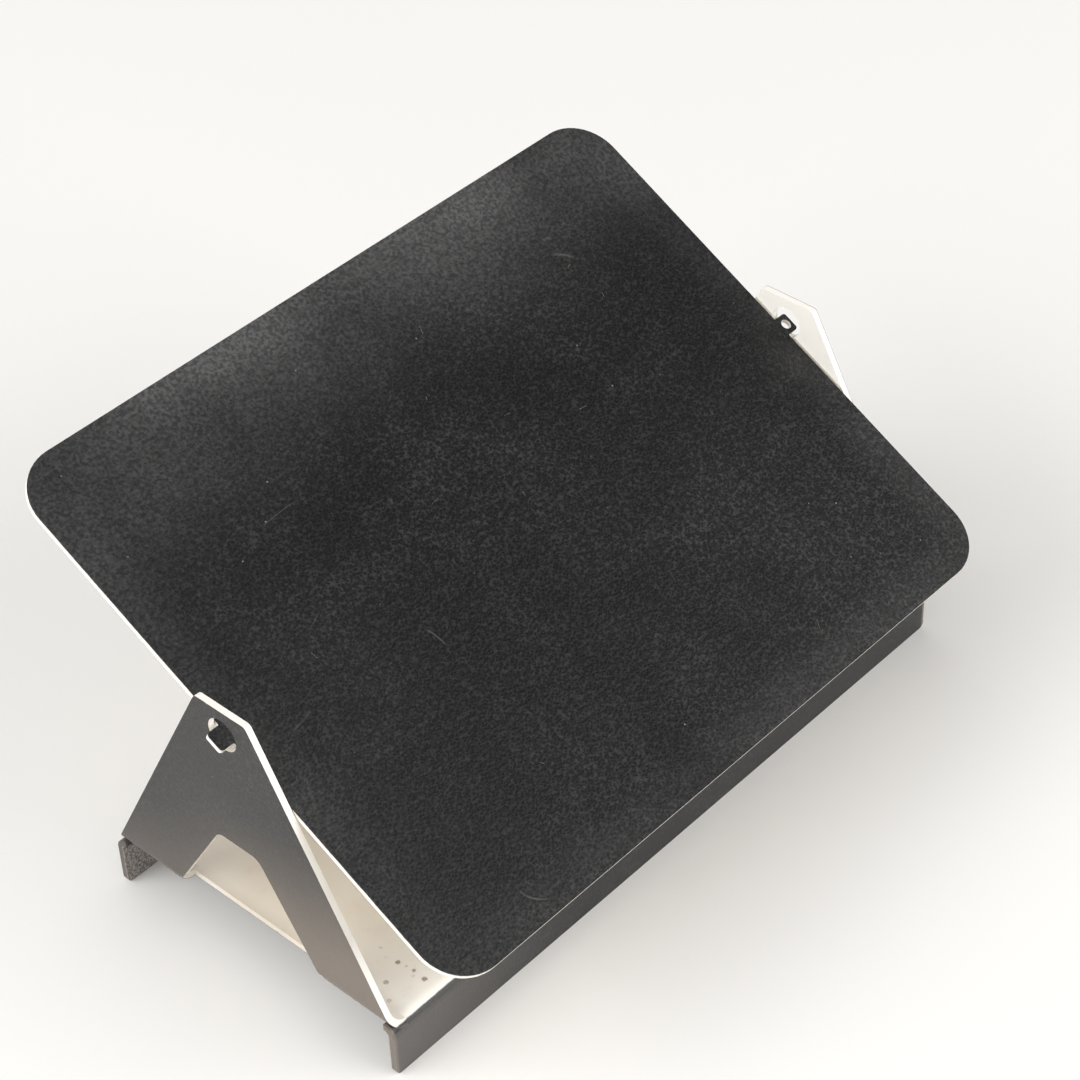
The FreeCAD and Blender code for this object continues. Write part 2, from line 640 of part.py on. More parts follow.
def make_bracket_fasteners():
    """Two 4 mm screws, with a washer and a nut under the panel on each."""
    seats = [Vector(size("bracket_screw_x"), side * size("half_bracket_screws"), 0)
             for side in (-1, 1)]
    foot = Vector(0, 0, size("bracket_gauge"))
    nut_height = size("m4_nut_height")
    under = Vector(0, 0, -size("sheet_gauge"))
    washer = size("washer_gauge")
    shaped("bracket_screws", Part.makeCompound(
        [m4_screw(size("bracket_screw_length"), seat + foot) for seat in seats]))
    shaped("bracket_washers", Part.makeCompound(
        [round_bar(size("m4_washer") / 2, washer, seat + under, DOWN)
         .cut(round_bar(size("m4_washer_hole") / 2, washer, seat + under, DOWN))
         for seat in seats]))
    below = under + Vector(0, 0, -washer)
    shaped("bracket_nuts", Part.makeCompound(
        [hexagon(size("m4_nut"), nut_height, seat + below, DOWN)
         .cut(round_bar(size("m4_nut_bore") / 2, nut_height, seat + below, DOWN))
         for seat in seats]))


def make_tube_and_nuts():
    """The hollow threaded tube that carries the lampholder, and its nuts."""
    on_lamp_axis(turned("lampholder_tube", [
        ("-nipple_back", "+nipple_bore_radius"), ("+nipple_front", "+nipple_bore_radius"),
        ("+nipple_front", "+nipple_radius"), ("-nipple_back", "+nipple_radius")]))
    centre = Vector(size("bracket_face"), 0, size("lamp_height"))
    behind = centre + Vector(size("bracket_gauge"), 0, 0)
    thickness = size("nut_thickness")
    bore = size("tube_nut_bore") / 2
    shaped("tube_nuts", Part.makeCompound(
        [hexagon(size("nut_across"), thickness, seat, way).cut(round_bar(bore, thickness, seat, way))
         for seat, way in ((centre, TO_BULB), (behind, FROM_BULB))]))


# ------------------------------------------------------------ the lampholder
def make_holder_body():
    """A plain moulded sleeve, closed at the back but for the tube's hole."""
    body = turned("lampholder_body", [
        ("+nut_thickness", "+nipple_clear"), ("+holder_floor", "+nipple_clear"),
        ("+holder_floor", "+holder_bore"), ("+holder_end", "+holder_bore"),
        ("+holder_end", "+holder_radius"), ("+nut_thickness", "+holder_radius")])
    round_edges(body, "shoulder", "holder_shoulder",
                lambda at, edge: near(at.x, size("nut_thickness"))
                and abs(math.hypot(at.y, at.z) - size("holder_radius")) < 0.05)
    on_lamp_axis(body)


def make_holder_core():
    """The insulating core: a disc with a hole for each terminal's screw."""
    body = turned("lampholder_core", [
        ("+core_start", "0"), ("+core_end", "0"),
        ("+core_end", "+core_radius"), ("+core_start", "+core_radius")])
    pockets = new_sketch(body, "YZ_Plane", "terminal_pockets")
    for side in ("-", "+"):
        circle(pockets, side + "terminal_place", "0", "terminal_hole")
    cut_through(body, pockets, "terminal_pockets_cut")
    on_lamp_axis(body)


def threaded_sleeve(start, length, outer, wall, pitch, depth, clearance):
    """A thin sleeve with rounded rings, the section of a rolled thread, turned
    about the X axis. Clearance grows both of its faces."""
    steps = 8
    turns = int(length / pitch)
    last = steps * turns

    def wave(number):
        return depth / 2 * (math.cos(2 * math.pi * number / steps) - 1) + clearance

    top = [Vector(start + pitch * number / steps, 0, outer / 2 + wave(number))
           for number in range(last + 1)]
    bottom = [Vector(point.x, 0, point.z - wall) for point in reversed(top)]
    section = Part.Face(Part.makePolygon(top + bottom + [top[0]]))
    return section.revolve(Vector(0, 0, 0), Vector(1, 0, 0), 360)


def make_holder_metal():
    """Threaded shell, centre contact and terminal screws."""
    shell_wall = size("shell_wall")
    shell = threaded_sleeve(size("core_end"), size("shell_length"), size("cap_outer"), shell_wall,
                            size("thread_pitch"), size("thread_depth"),
                            shell_wall + size("thread_play"))
    on_lamp_axis(shaped("lampholder_shell", shell))

    gauge = size("contact_gauge")
    wide = size("contact_width")
    long = size("contact_length")
    high = size("contact_spring")
    tongue = Part.makeBox(gauge, wide, long, Vector(size("core_end"), -wide / 2, -long / 2))
    reach = size("bulb_start") - size("core_end") - gauge
    spring = Part.makeBox(reach, wide, high,
                          Vector(size("core_end") + gauge, -wide / 2, -high / 2))
    on_lamp_axis(shaped("lampholder_contact", tongue.fuse(spring).removeSplitter()))

    head_height = size("terminal_head_height")
    start = Vector(size("core_start") - head_height, 0, 0)
    screws = []
    for side in (-1, 1):
        seat = start + Vector(0, side * size("terminal_place"), 0)
        head = round_bar(size("terminal_head") / 2, head_height, seat, FROM_BULB)
        shank = round_bar(size("terminal_shank") / 2, size("terminal_shank_length"),
                          seat + Vector(head_height, 0, 0), FROM_BULB)
        screws.append(head.fuse(shank))
    on_lamp_axis(shaped("lampholder_terminals", Part.makeCompound(screws)))


# ------------------------------------------------------------------ the bulb
def make_bulb():
    """A small tubular bulb on a screw cap: everything a bulb is made of."""
    tip = size("bulb_start")
    cap_start = tip + size("cap_lead")
    thread_length = size("thread_pitch") * size("cap_turns")
    thread_end = cap_start + thread_length
    cap_end = thread_end + size("cap_skirt")
    crown = tip + size("bulb_length")
    radius = size("bulb_outer") / 2
    glass_wall = size("glass_wall")
    cap_wall = size("cap_wall")
    axis_start = Vector(0, 0, 0)
    axis = Vector(1, 0, 0)

    def turn(points):
        face = Part.Face(Part.Wire(points))
        return face.revolve(axis_start, axis, 360)

    # glass: a neck that swells through an S-curve, then a round crown
    half = size("cap_outer") / 2
    neck = half - size("neck_play")
    neck_end = cap_end + 1.0
    swell_end = neck_end + size("swell_length")
    crown_start = crown - radius

    def glass_line(inset):
        swell = Part.BezierCurve()
        swell.setPoles([Vector(neck_end, 0, neck - inset), Vector(neck_end + 5, 0, neck - inset),
                        Vector(swell_end - 5, 0, radius - inset),
                        Vector(swell_end, 0, radius - inset)])
        start = Vector(thread_end + size("glass_start"), 0, neck - inset)
        arc_middle = math.radians(45)
        reach = radius - inset
        arc = Part.Arc(Vector(crown_start, 0, reach),
                       Vector(crown_start + reach * math.cos(arc_middle), 0,
                              reach * math.sin(arc_middle)),
                       Vector(crown_start + reach, 0, 0))
        return [Part.LineSegment(start, Vector(neck_end, 0, neck - inset)).toShape(),
                swell.toShape(),
                Part.LineSegment(Vector(swell_end, 0, radius - inset),
                                 Vector(crown_start, 0, radius - inset)).toShape(),
                arc.toShape()]

    outside = glass_line(0.0)
    inside = glass_line(glass_wall)
    rim = Part.makeLine(outside[0].valueAt(outside[0].FirstParameter),
                        inside[0].valueAt(inside[0].FirstParameter))
    crown_gap = Part.makeLine(Vector(crown, 0, 0), Vector(crown - glass_wall, 0, 0))
    wires = Part.sortEdges(outside + inside + [rim, crown_gap])
    on_lamp_axis(shaped("bulb_glass", turn(wires[0])))

    # screw cap: a rolled thread, then a plain skirt round the neck
    thread = threaded_sleeve(cap_start, thread_length + 0.01, size("cap_outer"), cap_wall,
                             size("thread_pitch"), size("thread_depth"), 0.0)
    rim_radius = half + size("cap_flare")
    skirt = turn(Part.makePolygon([
        Vector(thread_end, 0, half), Vector(cap_end, 0, rim_radius),
        Vector(cap_end, 0, rim_radius - cap_wall),
        Vector(thread_end, 0, half - cap_wall), Vector(thread_end, 0, half)]).Edges)
    collar_start = cap_start - size("collar_length")
    collar_outer = half - size("collar_drop")
    collar_inner = collar_outer - size("collar_wall")
    collar = turn(Part.makePolygon([
        Vector(collar_start, 0, collar_outer), Vector(cap_start, 0, half),
        Vector(cap_start, 0, half - size("collar_wall")),
        Vector(collar_start, 0, collar_inner), Vector(collar_start, 0, collar_outer)]).Edges)
    cap = thread.fuse([skirt, collar]).removeSplitter()
    on_lamp_axis(shaped("bulb_cap", cap))

    tip_depth = size("tip_depth")
    tip_radius = size("tip_radius")
    insulator_end = cap_start - 0.2
    insulator = turn(Part.makePolygon([
        Vector(tip + tip_depth, 0, 0), Vector(tip + tip_depth, 0, tip_radius + 0.1),
        Vector(collar_start, 0, collar_inner), Vector(insulator_end, 0, half - 0.9),
        Vector(insulator_end, 0, 0), Vector(tip + tip_depth, 0, 0)]).Edges)
    on_lamp_axis(shaped("bulb_insulator", insulator))
    contact = Part.makeSphere(tip_radius, Vector(tip + tip_radius, 0, 0), axis)
    contact = contact.common(Part.makeBox(tip_depth, 8, 8, Vector(tip, -4, -4)))
    on_lamp_axis(shaped("bulb_contact", contact))

    # inside the glass: a pinched stem, two supports and a coiled filament
    stem_start = thread_end + size("glass_start")
    stem_end = neck_end + size("stem_length")
    stem_radius = size("stem_radius")
    flare = neck - glass_wall - 0.05
    stem = turn(Part.makePolygon([
        Vector(stem_start, 0, 0), Vector(stem_start, 0, flare),
        Vector(stem_start + 1.0, 0, flare), Vector(stem_start + 5.0, 0, stem_radius + 0.4),
        Vector(stem_end, 0, stem_radius), Vector(stem_end, 0, 0),
        Vector(stem_start, 0, 0)]).Edges)
    on_lamp_axis(shaped("bulb_stem", stem))
    support_end = stem_end + size("support_reach")
    spread = size("support_spread")
    coil_radius = size("filament_outer") / 2
    supports = []
    for side in (-1, 1):
        foot = Vector(stem_end - 1.0, side * size("support_foot"), 0)
        top = Vector(support_end, side * spread, 0)
        wire = round_bar(size("support_wire") / 2, (top - foot).Length, foot, top - foot)
        supports.append(wire)
    supports_shape = Part.makeCompound([wire.cut(stem) for wire in supports])
    on_lamp_axis(shaped("bulb_supports", supports_shape))
    half_coil = spread - size("support_wire") - 0.1
    coil = round_bar(coil_radius, half_coil * 2, Vector(support_end - 0.4, -half_coil, 0),
                     Vector(0, 1, 0))
    on_lamp_axis(shaped("bulb_filament", coil))


# ---------------------------------------------------------------- the wiring
def make_grommet():
    """A rubber ring in the panel's hole, grooved to hold the sheet."""
    body = turned("panel_grommet", [
        ("+grommet_bore_radius", "-grommet_bottom"), ("+grommet_radius", "-grommet_bottom"),
        ("+grommet_radius", "-sheet_gauge"), ("+grommet_neck_radius", "-sheet_gauge"),
        ("+grommet_neck_radius", "0"), ("+grommet_radius", "0"),
        ("+grommet_radius", "+grommet_top"), ("+grommet_bore_radius", "+grommet_top")], "V_Axis")
    place(body, across="+grommet_place")


def make_terminal_block():
    """A three-way block screwed under the panel, in the gap to the wall."""
    centre = Vector(size("block_place"), 0, -size("sheet_gauge"))
    long_x = size("block_length")
    wide_y = size("block_width")
    tall = size("block_height")
    pitch = size("pole_pitch")
    pole_down = size("pole_depth")
    block = Part.makeBox(long_x, wide_y, tall, centre + Vector(-long_x / 2, -wide_y / 2, -tall))
    edges = [edge for edge in block.Edges if runs_along(edge, 2)]
    block = block.makeFillet(size("block_corner"), edges)
    inset = size("way_inset")
    way_length = long_x - 2 * inset
    way_radius = size("way_outer") / 2
    clamp_radius = size("clamp_outer") / 2
    clamp_length = size("clamp_length")
    clamp_place = size("clamp_place")
    play = size("way_play")
    fixing_seats = [centre + Vector(0, side * pitch / 2, 0) for side in (-1, 1)]
    tubes = []
    clamps = []
    for pole in (-1, 0, 1):
        start = centre + Vector(-long_x / 2 + inset, pole * pitch, -pole_down)
        way = round_bar(way_radius + play, long_x, start + Vector(-inset, 0, 0), FROM_BULB)
        block = block.cut(way)
        tube = round_bar(way_radius, way_length, start, FROM_BULB)
        tube = tube.cut(round_bar(size("way_bore") / 2, way_length, start, FROM_BULB))
        for place_x in (clamp_place, way_length - clamp_place):
            seat = start + Vector(place_x, 0, -1.0)
            bore = round_bar(clamp_radius + 2 * play, tall - pole_down, seat, DOWN)
            block = block.cut(bore)
            tube = tube.cut(round_bar(clamp_radius + play, way_radius, seat, DOWN))
            screw = round_bar(clamp_radius, clamp_length, seat, DOWN)
            slot = Part.makeBox(2.2 * clamp_radius, 0.4, 0.5)
            slot.translate(seat + Vector(-1.1 * clamp_radius, -0.2, -clamp_length))
            clamps.append(screw.cut(slot))
        tubes.append(tube)
    nut_height = size("m25_nut_height")
    nut_across = size("m25_nut")
    screws = []
    nuts = []
    for seat in fixing_seats:
        block = block.cut(round_bar(size("m25_hole") / 2, tall, seat, DOWN))
        foot = seat + Vector(0, 0, -tall + nut_height)
        block = block.cut(hexagon(nut_across + 0.2, nut_height, foot, DOWN))
        nuts.append(hexagon(nut_across, nut_height, foot, DOWN)
                    .cut(round_bar(size("m25_nut_bore") / 2, nut_height, foot, DOWN)))
        screws.append(pan_screw(size("m25_outer") / 2, size("m25_head") / 2,
                                size("m25_head_height"), size("sheet_gauge") + tall,
                                seat + Vector(0, 0, size("sheet_gauge"))))
    shaped("terminal_block", block)
    shaped("terminal_ways", Part.makeCompound(tubes))
    shaped("terminal_clamps", Part.makeCompound(clamps))
    shaped("terminal_screws", Part.makeCompound(screws))
    shaped("terminal_nuts", Part.makeCompound(nuts))


def make_earth():
    """The earth screw through the panel, its nut and the tag between them."""
    seat = Vector(size("earth_x"), -size("earth_y"), 0)
    tag_gauge = size("tag_gauge")
    arm_length = size("tag_arm_length")
    arm_width = size("tag_arm_width")
    barrel_length = size("tag_barrel_length")
    nut_height = size("m4_nut_height")
    under = seat + Vector(0, 0, -size("sheet_gauge"))
    shaped("earth_screw", m4_screw(size("earth_screw_length"), seat))
    ring = round_bar(size("tag_ring") / 2, tag_gauge, under, DOWN)
    to_block = Vector(-1, 0.75, 0).normalize()
    arm = Part.makeBox(arm_length, arm_width, tag_gauge, Vector(0, -arm_width / 2, -tag_gauge))
    arm.Placement = Placement(under, Rotation(Vector(1, 0, 0), to_block))
    tag = ring.fuse(arm).cut(round_bar(size("m4_nut_bore") / 2 + 0.05, tag_gauge, under, DOWN))
    barrel_start = under + to_block * (arm_length - 2.0) + Vector(0, 0, -tag_gauge - 1.0)
    barrel = round_bar(size("tag_barrel") / 2, barrel_length, barrel_start, to_block)
    bore_start = barrel_start + to_block * 1.5
    barrel = barrel.cut(round_bar(size("tag_barrel_bore") / 2, barrel_length, bore_start, to_block))
    shaped("earth_tag", tag.fuse(barrel).removeSplitter())
    below = under + Vector(0, 0, -tag_gauge)
    shaped("earth_nut", hexagon(size("m4_nut"), nut_height, below, DOWN)
           .cut(round_bar(size("m4_nut_bore") / 2, nut_height, below, DOWN)))
    return bore_start, to_block


def lead(label, points, radii):
    """An insulated lead: straight runs joined by tangent arcs."""
    radius = size("lead_outer") / 2
    edges = []
    last = points[0]
    for corner, before, after, bend in zip(points[1:-1], points[:-2], points[2:], radii):
        arriving = (corner - before).normalize()
        leaving = (after - corner).normalize()
        turn = arriving.getAngle(leaving)
        reach = bend * math.tan(turn / 2)
        start = corner - arriving * reach
        end = corner + leaving * reach
        inward = (leaving - arriving).normalize()
        middle = corner + inward * (bend / math.cos(turn / 2) - bend)
        edges.append(Part.makeLine(last, start))
        edges.append(Part.Arc(start, middle, end).toShape())
        last = end
    edges.append(Part.makeLine(last, points[-1]))
    spine = Part.Wire(edges)
    direction = points[1] - points[0]
    section = Part.Wire(Part.makeCircle(radius, points[0], direction))
    solid = spine.makePipeShell([section], True, True)
    expected = math.pi * radius ** 2 * spine.Length
    print(f"{label}: length {spine.Length:.1f} mm, volume / expected {solid.Volume / expected:.4f}")
    shaped(label, solid)


def make_leads(tag_bore, tag_way):
    """Two leads from the block, up through the panel and the hollow tube, to
    the lampholder's terminals, and one from the block to the earth tag."""
    lamp_up = size("lamp_height")
    run_down = -size("sheet_gauge") - size("pole_depth")
    riser = size("grommet_place")
    block_end = size("block_place") + size("block_length") / 2 - 4.0
    holder_in = size("bracket_face") - size("core_start") + 1.4
    tube_mouth = size("bracket_face") - size("nipple_front") - 1.0
    for label, side, pole in (("live_lead", 1.2, 1), ("neutral_lead", -1.2, 0)):
        pole_y = pole * size("pole_pitch")
        terminal_y = math.copysign(size("terminal_place"), side)
        lead(label, [
            Vector(holder_in, terminal_y, lamp_up), Vector(holder_in + 3.0, terminal_y, lamp_up),
            Vector(tube_mouth, side, lamp_up),
            Vector(riser, side, lamp_up), Vector(riser, side, run_down),
            Vector(block_end + 24.0, side, run_down), Vector(block_end + 8.0, pole_y, run_down),
            Vector(block_end, pole_y, run_down)], [4.0, 4.0, 7.5, 4.5, 12.0, 12.0])
    pole_y = -size("pole_pitch")
    meet = tag_bore + tag_way * 6.5
    lead("earth_lead", [
        Vector(block_end, pole_y, run_down), Vector(block_end + 7.0, pole_y, run_down),
        meet, tag_bore + tag_way * 0.2], [8.0, 6.0])


make_base()
make_flap()
make_bracket()
make_bracket_fasteners()
make_tube_and_nuts()
make_holder_body()
make_holder_core()
make_holder_metal()
make_bulb()
make_grommet()
make_terminal_block()
tag_bore, tag_way = make_earth()
make_leads(tag_bore, tag_way)

# -------------------------------------------------------- checks and output
doc.recompute()
for thing in doc.Objects:
    if "Invalid" in thing.State or "Error" in thing.State:
        raise RuntimeError(f"{thing.Label} failed: {thing.State}")
for part in parts:
    if part.Shape.isNull() or not part.Shape.isValid():
        raise RuntimeError(f"{part.Label} has no valid shape")
for part in parts:
    part.Shape.exportStep(f"parts/{part.Label}.step")
    box = part.Shape.BoundBox
    print(f"{part.Label}: {part.Shape.Volume / 1000:.3f} cm3, solids {len(part.Shape.Solids)},",
          f"X {box.XMin:.2f} to {box.XMax:.2f}, Y {box.YMin:.2f} to {box.YMax:.2f},",
          f"Z {box.ZMin:.2f} to {box.ZMax:.2f}")
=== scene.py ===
# %% [markdown]
# # A small wall light with a pivoting flap
# The light is one folded sheet of steel, one flat flap and a small screw-in
# bulb. Its outside is matt black with a fine grain, and everything that faces
# the bulb is cream, so that it reflects. This lesson loads the measured parts,
# rounds the edges of the two sheets, paints every piece, adds the details that
# are too fine to draw as solids, and lights the result on a pale table.

# %% Load the measured parts
import json
import math

import bmesh
import bpy
from mathutils import Matrix, Vector


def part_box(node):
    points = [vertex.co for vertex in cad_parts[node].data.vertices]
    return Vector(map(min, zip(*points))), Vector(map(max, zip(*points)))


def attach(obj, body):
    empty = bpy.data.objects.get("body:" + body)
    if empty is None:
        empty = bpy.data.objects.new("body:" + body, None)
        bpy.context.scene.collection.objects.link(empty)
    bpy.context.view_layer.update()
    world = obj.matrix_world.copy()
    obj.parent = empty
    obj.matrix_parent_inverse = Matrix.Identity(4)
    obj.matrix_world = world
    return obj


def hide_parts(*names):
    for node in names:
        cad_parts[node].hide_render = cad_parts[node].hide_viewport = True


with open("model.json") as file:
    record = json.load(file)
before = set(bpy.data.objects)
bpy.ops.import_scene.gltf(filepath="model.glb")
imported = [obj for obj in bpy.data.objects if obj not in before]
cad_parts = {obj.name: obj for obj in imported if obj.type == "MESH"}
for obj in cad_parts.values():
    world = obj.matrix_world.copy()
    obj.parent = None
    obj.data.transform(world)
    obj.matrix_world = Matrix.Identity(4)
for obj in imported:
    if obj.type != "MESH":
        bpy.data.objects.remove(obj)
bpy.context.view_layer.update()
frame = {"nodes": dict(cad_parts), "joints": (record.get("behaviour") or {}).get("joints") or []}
nodes = frame["nodes"]
scene = bpy.context.scene
print(len(nodes), "measured pieces")

# %% [markdown]
# ## Reading the sizes
# Many positions below are read from the measured pieces themselves, so such a detail stays where it
# belongs if a piece is drawn again; the others are given as fixed numbers. The hinge is the one
# joint: the flap turns about it, so it is also the place from which the flap's own pattern is laid
# out.

# %% Sizes read from the pieces
MM = 0.001
base_low, base_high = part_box("base_bracket")
gauge = 1.5 * MM
hinge = Vector(frame["joints"][0]["pos_m"])
flap_tilt = math.radians(29)  # the tilt it was left at, +Y edge up
table_height = base_low.z
print("base", [round(v / MM, 1) for v in (base_high - base_low)], "mm")

# %% [markdown]
# ## Writing shader sums as sums
# A surface such as worn paint is a sum of many small effects: grain, haze,
# dust, scratches. In a node tree each plus and times is a separate node, which
# is slow to read. The small class below wraps one number of a surface, so that
# an ordinary expression such as 1 - mask * 0.4 adds its Math nodes by itself.

# %% A number that changes over a surface
class Amount:
    def __init__(self, finish, socket):
        self.finish = finish
        self.socket = socket

    def sum_of(self, operation, *values, first=None):
        inputs = {0: self if first is None else first}
        inputs.update({place + 1: value for place, value in enumerate(values)})
        made = self.finish.add("ShaderNodeMath", {"operation": operation}, inputs)
        return Amount(self.finish, made.outputs[0])

    def __add__(self, other):
        return self.sum_of("ADD", other)

    def __sub__(self, other):
        return self.sum_of("SUBTRACT", other)

    def __mul__(self, other):
        return self.sum_of("MULTIPLY", other)

    def __truediv__(self, other):
        return self.sum_of("DIVIDE", other)

    def __rsub__(self, other):
        return self.sum_of("SUBTRACT", self, first=other)

    __radd__ = __add__
    __rmul__ = __mul__

    def __abs__(self):
        return self.sum_of("ABSOLUTE")

    def most(self, other):
        return self.sum_of("MAXIMUM", other)

    def root(self):
        return self.sum_of("SQRT")

    def wave(self):
        return self.sum_of("SINE")

    def above(self, limit):
        return self.sum_of("GREATER_THAN", limit)

    def ramp(self, low, high):
        """0 below low, 1 above high, and a smooth step between them."""
        made = self.finish.add("ShaderNodeMapRange", {"interpolation_type": "SMOOTHSTEP"},
                               {"Value": self, "From Min": low, "From Max": high})
        return Amount(self.finish, made.outputs["Result"])


# %% [markdown]
# ## One recipe per finish
# A finish is a material with one surface shader. Its recipe asks for places on
# the piece (in millimetres), for soft clouds, for round cells and for mixed
# colours, and ends by saying what the surface is. All patterns are laid out in
# the piece's own space, so they stay on it when it moves.

# %% A finish and what it is mixed from
class Finish:
    def __init__(self, name):
        self.material = bpy.data.materials.new(name)
        self.material.use_nodes = True
        self.tree = self.material.node_tree
        self.tree.nodes.clear()
        place = self.add("ShaderNodeTexCoord", {}, {}).outputs["Object"]
        scaled = self.add("ShaderNodeVectorMath", {"operation": "SCALE"},
                          {0: place, "Scale": 1 / MM})
        self.place = scaled.outputs[0]
        split = self.add("ShaderNodeSeparateXYZ", {}, {0: self.place})
        self.x, self.y, self.z = (Amount(self, socket) for socket in split.outputs)

    def add(self, kind, settings, inputs):
        """Adds a node: its settings first, then its sockets' values or links."""
        made = self.tree.nodes.new(kind)
        for name, value in settings.items():
            setattr(made, name, value)
        for name, value in inputs.items():
            socket = made.inputs[name]
            if isinstance(value, Amount):
                value = value.socket
            if isinstance(value, bpy.types.NodeSocket):
                self.tree.links.new(value, socket)
            elif isinstance(value, (tuple, list)) and len(value) == 3 and socket.type == "RGBA":
                socket.default_value = (*value, 1.0)
            else:
                socket.default_value = value
        return made

    def moved(self, shift=(0, 0, 0), turn=(0, 0, 0), stretch=(1, 1, 1)):
        made = self.add("ShaderNodeMapping", {"vector_type": "POINT"}, {
            "Vector": self.place, "Location": shift, "Rotation": turn, "Scale": stretch})
        return made.outputs[0]

    def clouds(self, width, detail=2.0, rough=0.5, place=None, bend=0.0):
        """Soft patches about width millimetres across, from 0 to 1."""
        made = self.add("ShaderNodeTexNoise", {}, {
            "Vector": place or self.place, "Scale": 1 / width, "Detail": detail,
            "Roughness": rough, "Distortion": bend})
        return Amount(self, made.outputs["Fac"])

    def cells(self, width, feature="F1", place=None, uneven=1.0):
        """Distance in a field of cells about width millimetres across."""
        made = self.add("ShaderNodeTexVoronoi", {"feature": feature}, {
            "Vector": place or self.place, "Scale": 1 / width, "Randomness": uneven})
        return Amount(self, made.outputs["Distance"]), made

    def cell_number(self, voronoi):
        """One random number for each cell."""
        split = self.add("ShaderNodeSeparateColor", {}, {0: voronoi.outputs["Color"]})
        return Amount(self, split.outputs[0])

    def mix(self, share, one, two):
        """A colour between two colours."""
        made = self.add("ShaderNodeMix", {"data_type": "RGBA", "clamp_factor": True},
                        {0: share, 6: one, 7: two})
        return made.outputs[2]

    def raised(self, height, strength=1.0, under=None):
        """Small heights, in millimetres, as a change of the surface's slope."""
        inputs = {"Height": height * MM, "Distance": 1.0, "Strength": strength}
        if under is not None:
            inputs["Normal"] = under
        return self.add("ShaderNodeBump", {}, inputs).outputs[0]

    def shader(self, **values):
        """One surface shader. Names are its sockets, with _ for a space."""
        named = {name.replace("_", " "): value for name, value in values.items()}
        return self.add("ShaderNodeBsdfPrincipled", {}, named).outputs[0]

    def finished(self, first, share=None, second=None):
        """Ends the recipe with one shader, or with two and the second's share."""
        if second is not None:
            first = self.add("ShaderNodeMixShader", {}, {0: share, 1: first, 2: second}).outputs[0]
        self.add("ShaderNodeOutputMaterial", {}, {"Surface": first})
        return self.material


# %% [markdown]
# ## Black powder coat
# The black coat is a baked powder. Under a lens it is a field of shallow,
# slightly sunken cells half a millimetre wide, like fine leather. Its colour is
# never pure black: handling leaves cloudy grey haze, and dust sits in the low
# spots. The recipe below returns colour, roughness and height, because the same
# coat covers the flap and the base.

# %% The coat's colour, roughness and height
BLACK_LOW = (0.0030, 0.0030, 0.0034)
BLACK_HIGH = (0.0195, 0.0195, 0.0202)
# pale grey for real handling haze, and also for a painted sheen on the flap's raised edge and a
# painted highlight along the base's bends
HAZE_AND_SHEEN = (0.098, 0.098, 0.099)
DUST = (0.36, 0.34, 0.31)


def black_coat(finish, cloudiness=1.0, grain=1.0, speckles=1.0):
    near, _ = finish.cells(0.66)
    fine = finish.clouds(0.42, 1.0, 0.6)
    height = (near * 0.060 + fine * 0.050) * grain
    pebbles = (near * 1.2 + fine * 0.9 - 0.62).ramp(0.0, 0.85)

    big = finish.clouds(52, 2.0, 0.5, bend=0.6).ramp(0.36, 0.74)
    middle = finish.clouds(12, 3.0, 0.65).ramp(0.40, 0.72)
    patch = (big * 0.60 + middle * 0.34) * cloudiness
    mottled = finish.clouds(1.0, 1.0, 0.7).ramp(0.38, 0.68)
    haze = patch * (0.04 + pebbles * mottled * 0.40)
    tint = finish.mix(pebbles * (0.35 + mottled * 0.65), BLACK_LOW, BLACK_HIGH)
    tint = finish.mix(haze, tint, HAZE_AND_SHEEN)

    spot, spots = finish.cells(5.5)
    chosen = finish.cell_number(spots).above(0.60)
    speck = (1 - spot.ramp(0.018, 0.045)) * chosen
    tiny, tinies = finish.cells(2.4)
    chosen_tiny = finish.cell_number(tinies).above(0.72)
    mote = (1 - tiny.ramp(0.022, 0.05)) * chosen_tiny
    dusty = (speck * 0.55 + mote * 0.28) * speckles
    tint = finish.mix(dusty, tint, DUST)
    rough = 0.43 + patch * 0.06 + mottled * 0.05 + dusty * 0.3
    return tint, rough, height


print("black coat ready")

# %% [markdown]
# ## Cream reflector paint
# The inside is brushed or sprayed cream enamel. It is smoother than the black,
# half glossy, and yellowed unevenly. It picks up brown dirt, and small chips
# show the primer. The chips come from the cells' random numbers: only a few
# cells in a hundred hold one, and a cloud decides where they gather.

# %% The cream's colour, roughness and height
CREAM = (0.880, 0.858, 0.808)
# darker than yellowing alone: on the base it also paints the shade on the panel towards the end
# plates
CREAM_AGED_AND_SHADED = (0.580, 0.510, 0.415)
# brown for real dirt and chips, and on the base also for the painted shade in the creases
GRIME_AND_SHADE = (0.200, 0.130, 0.075)


def cream_coat(finish, heat_and_shade, grubby=None):
    yellowing = finish.clouds(28, 3.0, 0.6).ramp(0.40, 0.78)
    tint = finish.mix(yellowing * 0.14 + heat_and_shade * 0.74, CREAM, CREAM_AGED_AND_SHADED)
    fog = finish.clouds(7, 4.0, 0.65).ramp(0.56, 0.86)
    tint = finish.mix(fog * 0.14, tint, GRIME_AND_SHADE)
    chip, chips = finish.cells(2.6)
    gathering = finish.clouds(9, 2.0, 0.6).ramp(0.58, 0.74)
    if grubby is not None:
        gathering = gathering.most(grubby)
    frayed = chip + (finish.clouds(0.35, 2.0, 0.6) - 0.5) * 0.26
    loss = (1 - frayed.ramp(0.16, 0.26)) * finish.cell_number(chips).above(0.55) * gathering
    tint = finish.mix(loss * 0.85, tint, GRIME_AND_SHADE)
    ripple = finish.clouds(1.6, 2.0, 0.5)
    height = ripple * 0.012 - loss * 0.03
    rough = 0.34 + fog * 0.16 + loss * 0.3
    return tint, rough, height


print("cream ready")

